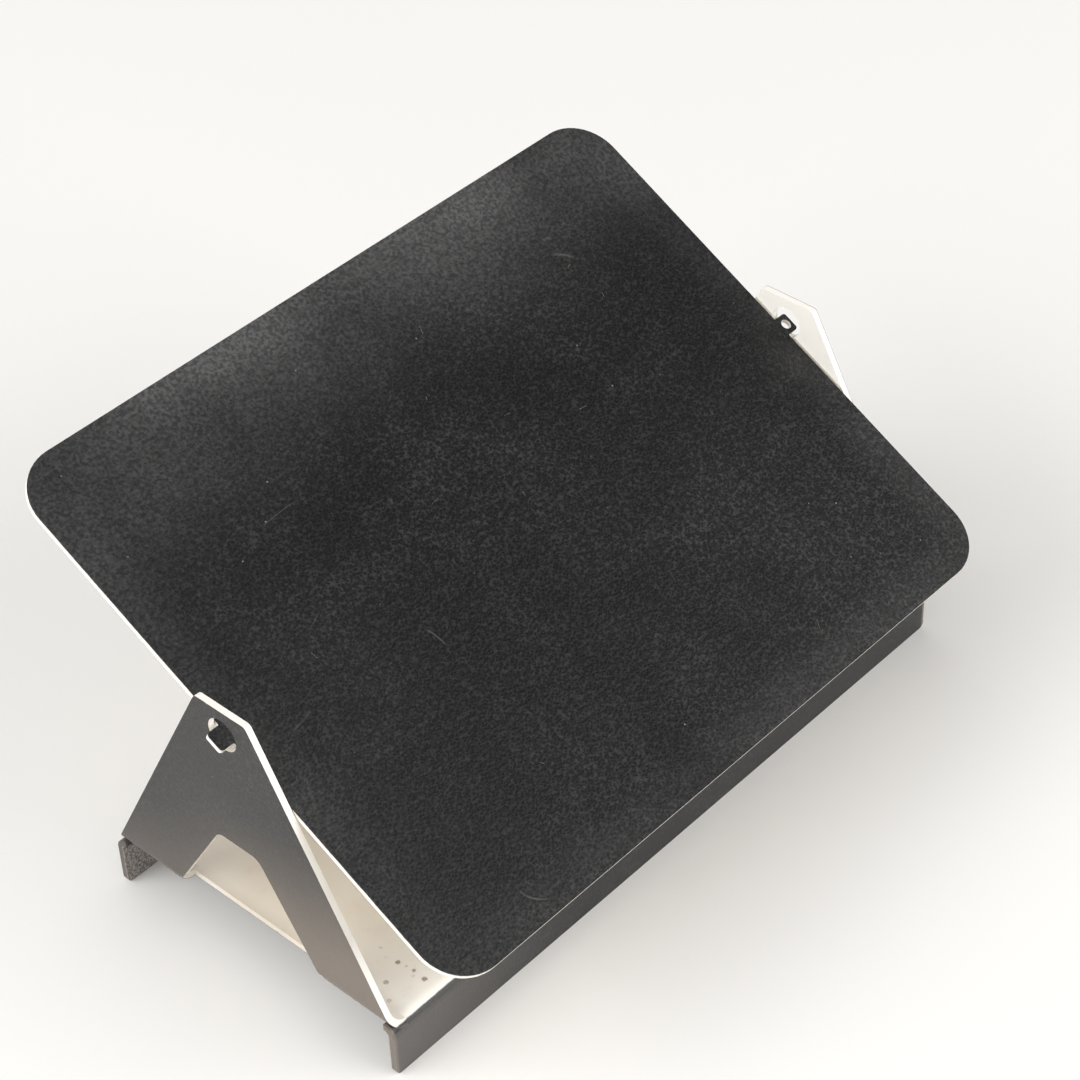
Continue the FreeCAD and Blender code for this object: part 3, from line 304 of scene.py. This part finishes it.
# %% [markdown]
# ## Where black meets cream on the flap
# The flap is coated black on its top face only. Its underside and its cut edges
# are cream, and the spray's edge lies just round the rim, uneven by a tenth of
# a millimetre. The mask is the depth below the top face: the flap's own plane
# is the hinge's plane turned by the tilt it was left at.

# %% The flap's finish
HALF_GAUGE = gauge / 2 / MM
TAB_DROP = 2.05  # hinge axis to the middle of the flap's sheet
HALF_LENGTH = 82  # of the flap, along the hinge
HALF_WIDTH = 64.75  # of the flap, across the hinge
FLAP_SHIFT = 0.25  # play taken up towards -X


def flap_finish():
    finish = Finish("flap_paint")
    across = math.cos(flap_tilt)
    rise = math.sin(flap_tilt)
    along = finish.y
    up = finish.z - hinge.z / MM
    depth = HALF_GAUGE - (up * across - along * rise + TAB_DROP)
    run = along * across + up * rise
    wavering = (finish.clouds(2.2, 3.0, 0.7) - 0.5) * 0.35
    inside = (depth + wavering).ramp(0.28, 0.42)

    coat, coat_rough, coat_height = black_coat(finish)
    # handling rubs the coat paler along the rim; the paler raised +Y edge is a painted sheen, and
    # the paler -X end is painted light
    break_up = finish.clouds(44, 3.0, 0.5).ramp(0.24, 0.72)
    rim = (abs(finish.x + FLAP_SHIFT) - HALF_LENGTH).most(abs(run) - HALF_WIDTH)
    rubbed_and_sheen = rim.ramp(-12.0, -1.0) * break_up * 0.22
    # painted sheen: the raised edge is made paler as if it caught the window
    painted_sheen_raised_edge = run.ramp(12.0, 66.0) * (0.55 + break_up * 0.45)
    # painted light: the -X end, towards the window, is made paler
    painted_light_left_end = (1 - finish.x.ramp(-84.0, -20.0)) * (0.4 + break_up * 0.6)
    rubbed_and_sheen = rubbed_and_sheen + painted_sheen_raised_edge * painted_sheen_raised_edge * 0.80 + painted_light_left_end * 0.12
    grit = finish.clouds(0.8, 1.0, 0.6).ramp(0.35, 0.72)
    coat = finish.mix(rubbed_and_sheen * (0.50 + grit * 0.75), coat, HAZE_AND_SHEEN)
    coat_rough = coat_rough - rubbed_and_sheen * 0.05

    # a few fine scratches, each a thin line where a stretched cloud crosses 0.5
    drawn = 0.0
    for turn, shift in ((0.5, 11.0), (1.9, 47.0)):
        lane = finish.moved((shift, shift, 0), (0, 0, turn), (0.35, 1.0, 0.35))
        line = abs(finish.clouds(24, 1.0, 0.4, lane) - 0.5)
        keep = finish.clouds(15, 2.0, 0.5, finish.moved((shift, 0, 0))).ramp(0.66, 0.72)
        drawn = (1 - line.ramp(0.0006, 0.0022)) * keep + drawn
    coat = finish.mix(drawn * 0.13, coat, DUST)

    black = finish.shader(Base_Color=coat, Roughness=coat_rough, Specular_IOR_Level=0.25,
                          Normal=finish.raised(coat_height, 1.0))
    heat_and_shade = 1 - (abs(finish.x) / 95 + abs(run) / 95).ramp(0.25, 0.95)
    heat_and_shade = heat_and_shade.most(rim.ramp(-1.2, -0.2) * 0.42)
    cream, cream_rough, cream_height = cream_coat(finish, heat_and_shade)
    pale = finish.shader(Base_Color=cream, Roughness=cream_rough,
                         Normal=finish.raised(cream_height, 0.8))
    return finish.finished(black, inside, pale)


flap_paint = flap_finish()
print(len(flap_paint.node_tree.nodes), "nodes in the flap's paint")

# %% [markdown]
# ## Where black meets cream on the base
# The base was masked and sprayed after folding. Its panel's upper face, the
# inner faces of the end plates and all of their cut edges are cream. The outer
# faces, the side flanges and the underside are black. The mask is the depth below
# the folded sheet's outer skin, worked out as the distance to a rounded corner,
# which follows the sheet round the bend under each end plate.

# %% The base's finish
BEND = 4.0  # outer radius of the bend under an end plate
FLANGE_BEND = 2.8  # outer radius of the bend over a side flange
HALF_OUTSIDE = base_high.x / MM
HALF_BASE = base_high.y / MM


def base_finish():
    finish = Finish("base_paint")
    side = abs(finish.x)
    edge = abs(finish.y)
    past = (side - (HALF_OUTSIDE - BEND)).most(0.0)
    below = (BEND - gauge / MM - finish.z).most(0.0)
    depth = BEND - (past * past + below * below).root()
    wavering = (finish.clouds(1.8, 3.0, 0.7) - 0.5) * 0.10
    inside = (depth + wavering).ramp(0.05, 0.14)
    # the spray stops half way round the bend of each side flange
    corner = (finish.z + FLANGE_BEND) - (edge - (HALF_BASE - FLANGE_BEND))
    low = 1 - finish.z.ramp(0.2, 1.2)
    over_bend = 1 - (1 - (corner + wavering * 5).ramp(-0.1, 0.5)) * low
    inside = inside * over_bend

    coat, coat_rough, coat_height = black_coat(finish, 0.7, 0.75, 0.6)
    # painted highlight: a pale band along the outside of the bend under each end plate, broken up
    # by a cloud
    highlight_breakup = finish.clouds(6, 4.0, 0.7).ramp(0.52, 0.75)
    fold = 1 - abs(depth - 0.02).ramp(0.0, 0.5)
    painted_bend_highlight = past.ramp(0.9, 1.8) * below.ramp(0.9, 1.8) * fold
    # the flanges' inner faces lie in shade and are painted a gritty pale grey, which stands in for
    # light bounced up from the table
    behind = 1 - (finish.z + gauge / MM).ramp(-0.9, -0.4)
    back = behind * (1 - edge.ramp(HALF_BASE - 1.4, HALF_BASE - 1.2))
    gritty = finish.clouds(0.55, 1.0, 0.7).ramp(0.36, 0.66)
    coat = finish.mix(back * (0.25 + gritty * 0.75), coat, (0.420, 0.378, 0.350))
    # the end plates' outer faces are painted paler towards their lower halves and their legs, in a
    # warm grey: a painted reflection of the white table
    plate = (side - HALF_OUTSIDE + 1).ramp(0.2, 0.6)
    painted_table_reflection = plate * (1 - (finish.z - 10.0).ramp(0.0, 34.0)) * (1 - finish.y.ramp(-8.0, 26.0))
    painted_reflection_towards_leg = (1 - (finish.z + finish.y * 0.35).ramp(-8.0, 34.0)) * plate
    coat = finish.mix(painted_table_reflection * (0.12 + finish.clouds(16, 3.0, 0.5) * 0.20)
                      + painted_reflection_towards_leg * 0.52, coat, (0.185, 0.152, 0.124))
    # the front flange is painted paler at its -X end: painted light where it comes out of the
    # flap's shadow
    front = 1 - (finish.y + HALF_BASE).ramp(0.1, 0.5)
    coat = finish.mix(front * (1 - finish.x.ramp(-84.0, -30.0)) * 0.50, coat, (0.150, 0.138, 0.130))
    # paints the bend highlight in the pale haze colour
    coat = finish.mix(painted_bend_highlight * (0.25 + highlight_breakup * 0.4), coat, HAZE_AND_SHEEN)

    # dirt gathers in the panel's corners, and the paint has chipped there
    corner_x = 1 - abs(finish.x + 68).ramp(4.0, 17.0)
    corner_y = 1 - abs(finish.y + 32).ramp(4.0, 13.0)
    grubby = corner_x * corner_y * finish.z.ramp(-0.6, -0.2)
    # heat yellowing in the middle of the panel, spread out towards the end plates so that it also
    # paints the shade that falls there
    low_down = 1 - finish.z.ramp(8.0, 40.0)
    heat_and_shade = (1 - (abs(finish.x + 6) / 95 + edge / 62).ramp(0.80, 1.42)) * low_down
    cream, cream_rough, cream_height = cream_coat(finish, heat_and_shade, grubby * 0.9)
    smear = finish.clouds(2.0, 4.0, 0.75).ramp(0.58, 0.74) * grubby
    # painted shade: the cream darkens in the crease where the panel meets each end plate
    painted_crease_shade = (1 - finish.z.ramp(0.3, 4.0)) * (1 - (HALF_OUTSIDE - side).ramp(3.0, 7.0))
    cream = finish.mix(smear * 0.34 + painted_crease_shade * 0.22, cream, GRIME_AND_SHADE)

    black = finish.shader(Base_Color=coat, Roughness=coat_rough - 0.05, Specular_IOR_Level=0.40,
                          Coat_Weight=0.12, Coat_Roughness=0.32,
                          Normal=finish.raised(coat_height, 0.45))
    pale = finish.shader(Base_Color=cream, Roughness=cream_rough,
                         Normal=finish.raised(cream_height, 0.8))
    return finish.finished(black, inside, pale)


base_paint = base_finish()
print(len(base_paint.node_tree.nodes), "nodes in the base's paint")

# %% [markdown]
# ## Rounding the sheets' edges
# A cut and painted edge is never sharp: paint builds up a small round of a
# quarter of a millimetre, and that round is what catches the light. The
# measured pieces come as loose triangles, so each sheet is copied, its doubles
# are merged, flat faces are joined again, and only its real edges are bevelled.
# Bevelling only takes material away, so the sheet keeps its size and its fit.

# %% Copy a measured sheet with rounded edges
def rounded_copy(node, name, radius, segments=2, sharp=35.0):
    mesh = nodes[node].data.copy()
    mesh.name = name
    work = bmesh.new()
    work.from_mesh(mesh)
    bmesh.ops.remove_doubles(work, verts=work.verts, dist=0.004 * MM)
    bmesh.ops.dissolve_limit(work, angle_limit=math.radians(0.6), verts=work.verts,
                             edges=work.edges, delimit={"NORMAL"})
    edges = [edge for edge in work.edges if len(edge.link_faces) == 2
             and edge.calc_face_angle(0.0) > math.radians(sharp)]
    bmesh.ops.bevel(work, geom=edges, offset=radius, offset_type="OFFSET", segments=segments,
                    profile=0.5, affect="EDGES", clamp_overlap=True)
    bmesh.ops.triangulate(work, faces=work.faces)
    work.to_mesh(mesh)
    work.free()
    mesh.materials.clear()
    piece = bpy.data.objects.new(name, mesh)
    scene.collection.objects.link(piece)
    print(name, len(edges), "edges rounded,", len(mesh.polygons), "faces")
    return piece


def smooth_with_flat_faces(piece):
    """Smooth shading in which the large faces keep their own flat direction."""
    piece.data.shade_smooth()
    weigh = piece.modifiers.new("weigh", "WEIGHTED_NORMAL")
    weigh.mode = "FACE_AREA"
    weigh.weight = 100
    bpy.context.view_layer.update()
    seen = piece.evaluated_get(bpy.context.evaluated_depsgraph_get())
    piece.data = bpy.data.meshes.new_from_object(seen)
    piece.modifiers.clear()


flap_sheet = rounded_copy("flap", "flap_sheet", 0.22 * MM)
base_sheet = rounded_copy("base_bracket", "base_sheet", 0.20 * MM)
for piece, material, node, body in ((flap_sheet, flap_paint, "flap", "flap"),
                                    (base_sheet, base_paint, "base_bracket", "base")):
    piece.data.materials.append(material)
    smooth_with_flat_faces(piece)
    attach(piece, body)
    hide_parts(node)

# %% [markdown]
# ## The small parts' finishes
# Under the flap sits a small lampholder on its bracket. Plated steel is grey with a blotchy, drawn
# sheen; brass is yellower and tarnishes in spots; the lampholder is black moulded plastic with a
# swirl of filler in it. Each is one short recipe with colour variation and a slightly uneven gloss;
# the moulded pieces also have dust in them.

# %% Metals
def metal_finish(name, clean, tarnish, rough, lines=0.0, spots=0.3):
    finish = Finish(name)
    bloom = finish.clouds(3.2, 4.0, 0.65).ramp(0.38, 0.72)
    pits = finish.clouds(0.55, 3.0, 0.7).ramp(0.58, 0.76)
    drawn = finish.clouds(0.5, 2.0, 0.6, finish.moved(stretch=(0.08, 1.0, 1.0)))
    tint = finish.mix(bloom * 0.55, clean, tarnish)
    tint = finish.mix(pits * spots, tint, tuple(part * 0.30 for part in tarnish))
    gloss = rough + bloom * 0.16 + (drawn - 0.5) * lines + pits * 0.2
    height = drawn * 0.010 * (1.0 + lines) - pits * 0.012
    return finish.finished(finish.shader(
        Base_Color=tint, Metallic=1 - pits * 0.4, Roughness=gloss,
        Normal=finish.raised(height, 0.7)))


plated = metal_finish("plated_steel", (0.62, 0.61, 0.58), (0.36, 0.34, 0.31), 0.32, 0.20)
brass = metal_finish("aged_brass", (0.76, 0.56, 0.26), (0.40, 0.26, 0.11), 0.26, 0.10)
cap_metal = metal_finish("plated_cap", (0.80, 0.80, 0.79), (0.52, 0.51, 0.50), 0.22, 0.12, 0.15)
wire_metal = metal_finish("lamp_wire", (0.46, 0.46, 0.47), (0.25, 0.25, 0.27), 0.34, 0.05, 0.1)


# %% Moulded pieces, rubber and insulation
def moulded_finish(name, body, swirl, rough, coat, grain, dust=0.10, stripe=None):
    finish = Finish(name)
    stream = finish.clouds(5.5, 5.0, 0.6, bend=2.0).ramp(0.42, 0.70)
    grit = finish.clouds(0.35, 2.0, 0.6)
    settled = finish.clouds(2.4, 4.0, 0.7).ramp(0.54, 0.80)
    tint = finish.mix(stream * 0.5, body, swirl)
    if stripe is not None:
        tint = finish.mix(stripe(finish), tint, (0.50, 0.52, 0.03))
    tint = finish.mix(settled * dust, tint, DUST)
    return finish.finished(finish.shader(
        Base_Color=tint, Roughness=rough + settled * 0.18 + (grit - 0.5) * 0.10,
        Coat_Weight=coat, Coat_Roughness=0.15, Normal=finish.raised(grit * grain, 0.8)))


def winding_stripe(finish):
    """A yellow band on the upper side of the lead, which wanders a little."""
    wander = (finish.x * 0.35 + finish.y * 0.2).wave() * 0.25
    return (finish.z + 7.7 + wander).ramp(-0.12, 0.12)


plastic = moulded_finish("moulded_black", (0.020, 0.017, 0.015), (0.034, 0.026, 0.021),
                         0.26, 0.5, 0.006)
ceramic = moulded_finish("white_ceramic", (0.78, 0.76, 0.70), (0.70, 0.66, 0.58), 0.22, 0.7, 0.004)
glassy_black = moulded_finish("black_glass_bead", (0.012, 0.012, 0.014), (0.030, 0.026, 0.030),
                              0.12, 0.8, 0.003)
rubber = moulded_finish("black_rubber", (0.018, 0.018, 0.018), (0.030, 0.029, 0.027),
                        0.62, 0.0, 0.012, 0.22)
nylon = moulded_finish("off_white_nylon", (0.74, 0.72, 0.66), (0.66, 0.62, 0.53), 0.40, 0.15, 0.010)
brown_sheath = moulded_finish("brown_sheath", (0.120, 0.042, 0.018), (0.160, 0.062, 0.030),
                              0.34, 0.2, 0.006)
blue_sheath = moulded_finish("blue_sheath", (0.020, 0.080, 0.270), (0.030, 0.110, 0.330),
                             0.34, 0.2, 0.006)
earth_sheath = moulded_finish("green_and_yellow_sheath", (0.020, 0.180, 0.045),
                              (0.030, 0.230, 0.060), 0.34, 0.2, 0.006, stripe=winding_stripe)

# %% [markdown]
# ## Bulb glass
# The bulb is frosted: the inside is etched, so the glass is milky, and light passes through it
# without showing the wire. The recipe lets part of the light through and adds a thin, patchy film
# of dust.

# %% Glass
def frosted_glass():
    finish = Finish("frosted_glass")
    film = finish.clouds(4.5, 4.0, 0.65).ramp(0.46, 0.76)
    etch = finish.clouds(0.4, 2.0, 0.6)
    tint = finish.mix(film * 0.18, (0.90, 0.89, 0.86), (0.55, 0.52, 0.47))
    return finish.finished(finish.shader(
        Base_Color=tint, Roughness=0.34 + film * 0.20 + (etch - 0.5) * 0.08, IOR=1.5,
        Transmission_Weight=0.55, Alpha=0.93 + film * 0.05, Coat_Weight=0.25,
        Coat_Roughness=0.12, Normal=finish.raised(etch * 0.004, 0.8)))


def stem_glass():
    finish = Finish("stem_glass")
    seeds = finish.clouds(0.8, 3.0, 0.6).ramp(0.56, 0.72)
    tint = finish.mix(seeds * 0.3, (0.86, 0.90, 0.88), (0.60, 0.66, 0.64))
    return finish.finished(finish.shader(
        Base_Color=tint, Roughness=0.05 + seeds * 0.15, IOR=1.52, Transmission_Weight=0.85,
        Alpha=0.85 + seeds * 0.1))


frosted, stem = frosted_glass(), stem_glass()

# %% Every other measured piece gets its finish
WEARS = {
    plated: ("lampholder_bracket", "bracket_screws", "bracket_washers", "bracket_nuts",
             "lampholder_tube", "tube_nuts", "terminal_clamps", "terminal_screws",
             "terminal_nuts"),
    brass: ("lampholder_shell", "lampholder_contact", "lampholder_terminals", "bulb_contact",
            "terminal_ways", "earth_screw", "earth_tag", "earth_nut"),
    plastic: ("lampholder_body",), ceramic: ("lampholder_core",), cap_metal: ("bulb_cap",),
    frosted: ("bulb_glass",), stem: ("bulb_stem",), glassy_black: ("bulb_insulator",),
    wire_metal: ("bulb_supports", "bulb_filament"), rubber: ("panel_grommet",),
    nylon: ("terminal_block",), brown_sheath: ("live_lead",), blue_sheath: ("neutral_lead",),
    earth_sheath: ("earth_lead",)}
for material, wearers in WEARS.items():
    for name in wearers:
        nodes[name].data.materials.clear()
        nodes[name].data.materials.append(material)
finished = {name for wearers in WEARS.values() for name in wearers} | {"flap", "base_bracket"}
print("pieces without a finish:", sorted(set(nodes) - finished))

# %% [markdown]
# ## Geometry Nodes: one helper for every tree
# What repeats is made by a tree of geometry nodes: the thread on the hollow
# tube, the coiled wire in the bulb and the fibres of lint on the flap. Each
# tree gets named sizes, and its result is turned into a plain mesh.

# %% Building a tree and keeping its result
class Tree:
    def __init__(self, name, sizes):
        self.group = bpy.data.node_groups.new(name, "GeometryNodeTree")
        self.sizes = {}
        face = self.group.interface
        face.new_socket("Geometry", in_out="INPUT", socket_type="NodeSocketGeometry")
        for title, value in sizes.items():
            kind = "NodeSocketInt" if isinstance(value, int) else "NodeSocketFloat"
            socket = face.new_socket(title, in_out="INPUT", socket_type=kind)
            self.sizes[title] = (socket.identifier, value)
        face.new_socket("Geometry", in_out="OUTPUT", socket_type="NodeSocketGeometry")
        self.start = self.group.nodes.new("NodeGroupInput")

    def size(self, title):
        return self.start.outputs[title]

    def add(self, kind, settings=None, inputs=None):
        made = self.group.nodes.new(kind)
        for name, value in (settings or {}).items():
            setattr(made, name, value)
        for name, value in (inputs or {}).items():
            if isinstance(value, bpy.types.NodeSocket):
                self.group.links.new(value, made.inputs[name])
            else:
                made.inputs[name].default_value = value
        return made

    def maths(self, operation, *values):
        return self.add("ShaderNodeMath", {"operation": operation},
                        dict(enumerate(values))).outputs[0]

    def piece(self, name, result, material, start_mesh=None):
        """Realizes the result, gives it its finish and keeps it as a mesh."""
        real = self.add("GeometryNodeRealizeInstances", inputs={"Geometry": result})
        dressed = self.add("GeometryNodeSetMaterial", inputs={
            "Geometry": real.outputs[0], "Material": material})
        end = self.group.nodes.new("NodeGroupOutput")
        self.group.links.new(dressed.outputs[0], end.inputs[0])
        made = bpy.data.objects.new(name, start_mesh or bpy.data.meshes.new(name))
        scene.collection.objects.link(made)
        modifier = made.modifiers.new("tree", "NODES")
        modifier.node_group = self.group
        for identifier, value in self.sizes.values():
            modifier[identifier] = value
        bpy.context.view_layer.update()
        seen = made.evaluated_get(bpy.context.evaluated_depsgraph_get())
        mesh = bpy.data.meshes.new_from_object(seen)
        made.modifiers.clear()
        made.data = mesh
        mesh.name = name
        print(name, len(mesh.polygons), "faces")
        return made


# %% [markdown]
# ## Lint and dust fibres on the flap
# A matt black surface that has lain about always carries a few short fibres.
# The tree scatters a seeded number of points over the flap's top face, and puts a bent hair of
# random length and turn, all of one thickness, on each. The start mesh is one flat face just above
# the paint, in the flap's own plane.

# %% Fibres
def flap_top_face(inset, lift):
    """A face just over the flap's top, inset from its rim."""
    half_x, half_y = HALF_LENGTH - inset, HALF_WIDTH - inset
    tilt = Matrix.Rotation(flap_tilt, 3, "X")
    corners = [tilt @ Vector((x, y, HALF_GAUGE - TAB_DROP + lift)) * MM + hinge
               for x, y in ((-half_x, -half_y), (half_x, -half_y), (half_x, half_y),
                            (-half_x, half_y))]
    mesh = bpy.data.meshes.new("flap_top")
    mesh.from_pydata(corners, [], [(0, 1, 2, 3)])
    return mesh


def lint_finish():
    finish = Finish("lint")
    kind = finish.clouds(6, 2.0, 0.5)
    tint = finish.mix(kind.ramp(0.42, 0.58), (0.22, 0.21, 0.20), (0.44, 0.30, 0.20))
    return finish.finished(finish.shader(Base_Color=tint, Roughness=0.8))


tree = Tree("scattered_fibres", {"How Many": 900.0, "Shortest": 0.0004, "Longest": 0.0021,
                                 "Thickness": 0.000022, "Seed": 7})
points = tree.add("GeometryNodeDistributePointsOnFaces", {"distribute_method": "RANDOM"}, {
    "Mesh": tree.start.outputs["Geometry"], "Density": tree.size("How Many"),
    "Seed": tree.size("Seed")})
hair = tree.add("GeometryNodeCurvePrimitiveBezierSegment", {"mode": "POSITION"}, {
    "Resolution": 5, "Start": (-0.5, 0, 0), "Start Handle": (-0.2, 0.22, 0),
    "End Handle": (0.25, -0.12, 0), "End": (0.5, 0.14, 0)})
length = tree.add("FunctionNodeRandomValue", {"data_type": "FLOAT"}, {
    2: tree.size("Shortest"), 3: tree.size("Longest"), "Seed": 3}).outputs[1]
spin = tree.add("FunctionNodeRandomValue", {"data_type": "FLOAT"}, {
    2: 0.0, 3: math.tau, "Seed": 5}).outputs[1]
turn = tree.add("ShaderNodeCombineXYZ", {}, {"Z": spin}).outputs[0]
pose = tree.add("FunctionNodeRotateRotation", {"rotation_space": "LOCAL"}, {
    0: points.outputs["Rotation"], 1: turn}).outputs[0]
laid = tree.add("GeometryNodeInstanceOnPoints", {}, {
    "Points": points.outputs["Points"], "Instance": hair.outputs[0],
    "Rotation": pose, "Scale": length})
real = tree.add("GeometryNodeRealizeInstances", inputs={"Geometry": laid.outputs[0]})
ring = tree.add("GeometryNodeCurvePrimitiveCircle", {"mode": "RADIUS"},
                {"Resolution": 4, "Radius": tree.size("Thickness")})
tube = tree.add("GeometryNodeCurveToMesh", {}, {
    "Curve": real.outputs[0], "Profile Curve": ring.outputs[0], "Fill Caps": True})
lint = tree.piece("flap_lint", tube.outputs[0], lint_finish(), flap_top_face(9, 0.035))
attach(lint, "flap")

# %% [markdown]
# ## The thread on the hollow tube
# The tube that carries the lampholder is threaded along its whole length. A
# thread is a ridge that winds round, so a small triangle is swept along a
# spiral at the root of the thread, inside the measured tube's radius.

# %% Thread ridge
tube_low, tube_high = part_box("lampholder_tube")
tube_centre = (tube_low + tube_high) / 2
tube_length = tube_high.x - tube_low.x
tube_radius = (tube_high.z - tube_low.z) / 2
THREAD = 1.0 * MM
tree = Tree("thread_ridge", {"Length": tube_length - THREAD, "Crest": tube_radius,
                             "Pitch": THREAD, "Depth": 0.45 * MM})
turns = tree.maths("DIVIDE", tree.size("Length"), tree.size("Pitch"))
root = tree.maths("SUBTRACT", tree.size("Crest"), tree.size("Depth"))
wound = tree.add("GeometryNodeCurveSpiral", {}, {
    "Resolution": 26, "Rotations": turns, "Start Radius": root, "End Radius": root,
    "Height": tree.size("Length")})
facet = tree.add("GeometryNodeCurvePrimitiveCircle", {"mode": "RADIUS"},
                 {"Resolution": 3, "Radius": tree.size("Depth")})
ridge = tree.add("GeometryNodeCurveToMesh", {}, {
    "Curve": wound.outputs[0], "Profile Curve": facet.outputs[0], "Fill Caps": True})
laid_over = tree.add("GeometryNodeTransform", {}, {
    "Geometry": ridge.outputs[0], "Rotation": (0, math.pi / 2, 0),
    "Translation": (tube_low.x + THREAD / 2, tube_centre.y, tube_centre.z)})
thread = tree.piece("tube_thread", laid_over.outputs[0], plated)
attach(thread, "base")

# %% [markdown]
# ## The coiled wire in the bulb
# The glowing wire is a tight coil that sags between its two supports. It is drawn as a fine
# straight spiral from one support to the other, without the sag.

# %% Coil
wire_low, wire_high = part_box("bulb_filament")
wire_centre = (wire_low + wire_high) / 2
tree = Tree("coiled_wire", {"Span": wire_high.y - wire_low.y, "Radius": 0.34 * MM,
                            "Wire": 0.075 * MM, "Turns": 34.0})
coil = tree.add("GeometryNodeCurveSpiral", {}, {
    "Resolution": 12, "Rotations": tree.size("Turns"), "Start Radius": tree.size("Radius"),
    "End Radius": tree.size("Radius"), "Height": tree.size("Span")})
wire = tree.add("GeometryNodeCurvePrimitiveCircle", {"mode": "RADIUS"},
                {"Resolution": 6, "Radius": tree.size("Wire")})
swept = tree.add("GeometryNodeCurveToMesh", {}, {
    "Curve": coil.outputs[0], "Profile Curve": wire.outputs[0], "Fill Caps": True})
placed = tree.add("GeometryNodeTransform", {}, {
    "Geometry": swept.outputs[0], "Rotation": (-math.pi / 2, 0, 0),
    "Translation": (wire_centre.x, wire_low.y, wire_centre.z)})
filament = tree.piece("coiled_filament", placed.outputs[0], wire_metal)
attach(filament, "base")
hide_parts("bulb_filament")

# %% [markdown]
# ## A pale table
# The light lies on its back on a smooth white table. It is a large plane with
# the faintest unevenness, a little warmer than the light on it.

# %% The table
def table_finish():
    finish = Finish("pale_table")
    drift = finish.clouds(300, 2.0, 0.5)
    tint = finish.mix(drift, (0.83, 0.825, 0.815), (0.86, 0.855, 0.845))
    return finish.finished(finish.shader(Base_Color=tint, Roughness=0.55,
                                         Specular_IOR_Level=0.3))


bpy.ops.mesh.primitive_plane_add(size=12, location=(0, 0, table_height - 0.02 * MM))
table = bpy.context.object
table.name = "table"
table.data.materials.append(table_finish())

# %% [markdown]
# ## Light and camera
# The light is a wide, soft window behind and to the left, with a paler fill all
# round and a darker ceiling. The camera looks down at forty degrees with a long
# lens, so the lines stay nearly parallel.

# %% The camera
look_at = Vector((-1.4, -4.2, 49.0)) * MM
distance = 589.7 * MM
azimuth, elevation, roll = math.radians(-46.18), math.radians(40.48), math.radians(2.5)
ahead = Vector((-math.sin(azimuth) * math.cos(elevation), math.cos(azimuth) * math.cos(elevation),
                -math.sin(elevation)))
lens = bpy.data.cameras.new("camera")
lens.sensor_width = 36
lens.lens = 98.27
lens.clip_start = 0.01
camera = bpy.data.objects.new("camera", lens)
turned = ahead.to_track_quat("-Z", "Y").to_matrix() @ Matrix.Rotation(-roll, 3, "Z")
camera.matrix_world = Matrix.Translation(look_at - ahead * distance) @ turned.to_4x4()
scene.collection.objects.link(camera)
scene.camera = camera
print("camera at", [round(v, 3) for v in camera.matrix_world.translation])

# %% The lights
scene.view_settings.view_transform = "Standard"


def soft_light(name, place, aim, width, height, watts, tint):
    lamp = bpy.data.lights.new(name, "AREA")
    lamp.shape = "RECTANGLE"
    lamp.size = width
    lamp.size_y = height
    lamp.energy = watts
    lamp.color = tint
    holder = bpy.data.objects.new(name, lamp)
    holder.location = place
    holder.rotation_euler = (Vector(aim) - Vector(place)).to_track_quat("-Z", "Y").to_euler()
    scene.collection.objects.link(holder)


soft_light("window", (-1.50, 0.60, 0.78), (0, 0, 0), 1.8, 1.3, 28.0, (1.0, 0.985, 0.96))
soft_light("fill", (0.65, -1.35, 0.75), (0, 0, 0), 1.6, 1.2, 23.0, (1.0, 0.98, 0.955))

room = bpy.data.worlds.new("room")
room.use_nodes = True
sky = room.node_tree
direction = sky.nodes.new("ShaderNodeTexCoord")
lean = sky.nodes.new("ShaderNodeVectorMath")
lean.operation = "DOT_PRODUCT"
lean.inputs[1].default_value = Vector((0.50, -0.22, 0.84)).normalized()
spread = sky.nodes.new("ShaderNodeMapRange")
spread.inputs["From Min"].default_value = 0.45
spread.inputs["From Max"].default_value = 0.93
spread.inputs["To Min"].default_value = 1.02
spread.inputs["To Max"].default_value = 0.07
sky.links.new(direction.outputs["Generated"], lean.inputs[0])
sky.links.new(lean.outputs["Value"], spread.inputs["Value"])
backdrop = sky.nodes["Background"]
backdrop.inputs["Color"].default_value = (1.0, 0.99, 0.98, 1.0)
sky.links.new(spread.outputs["Result"], backdrop.inputs["Strength"])
scene.world = room
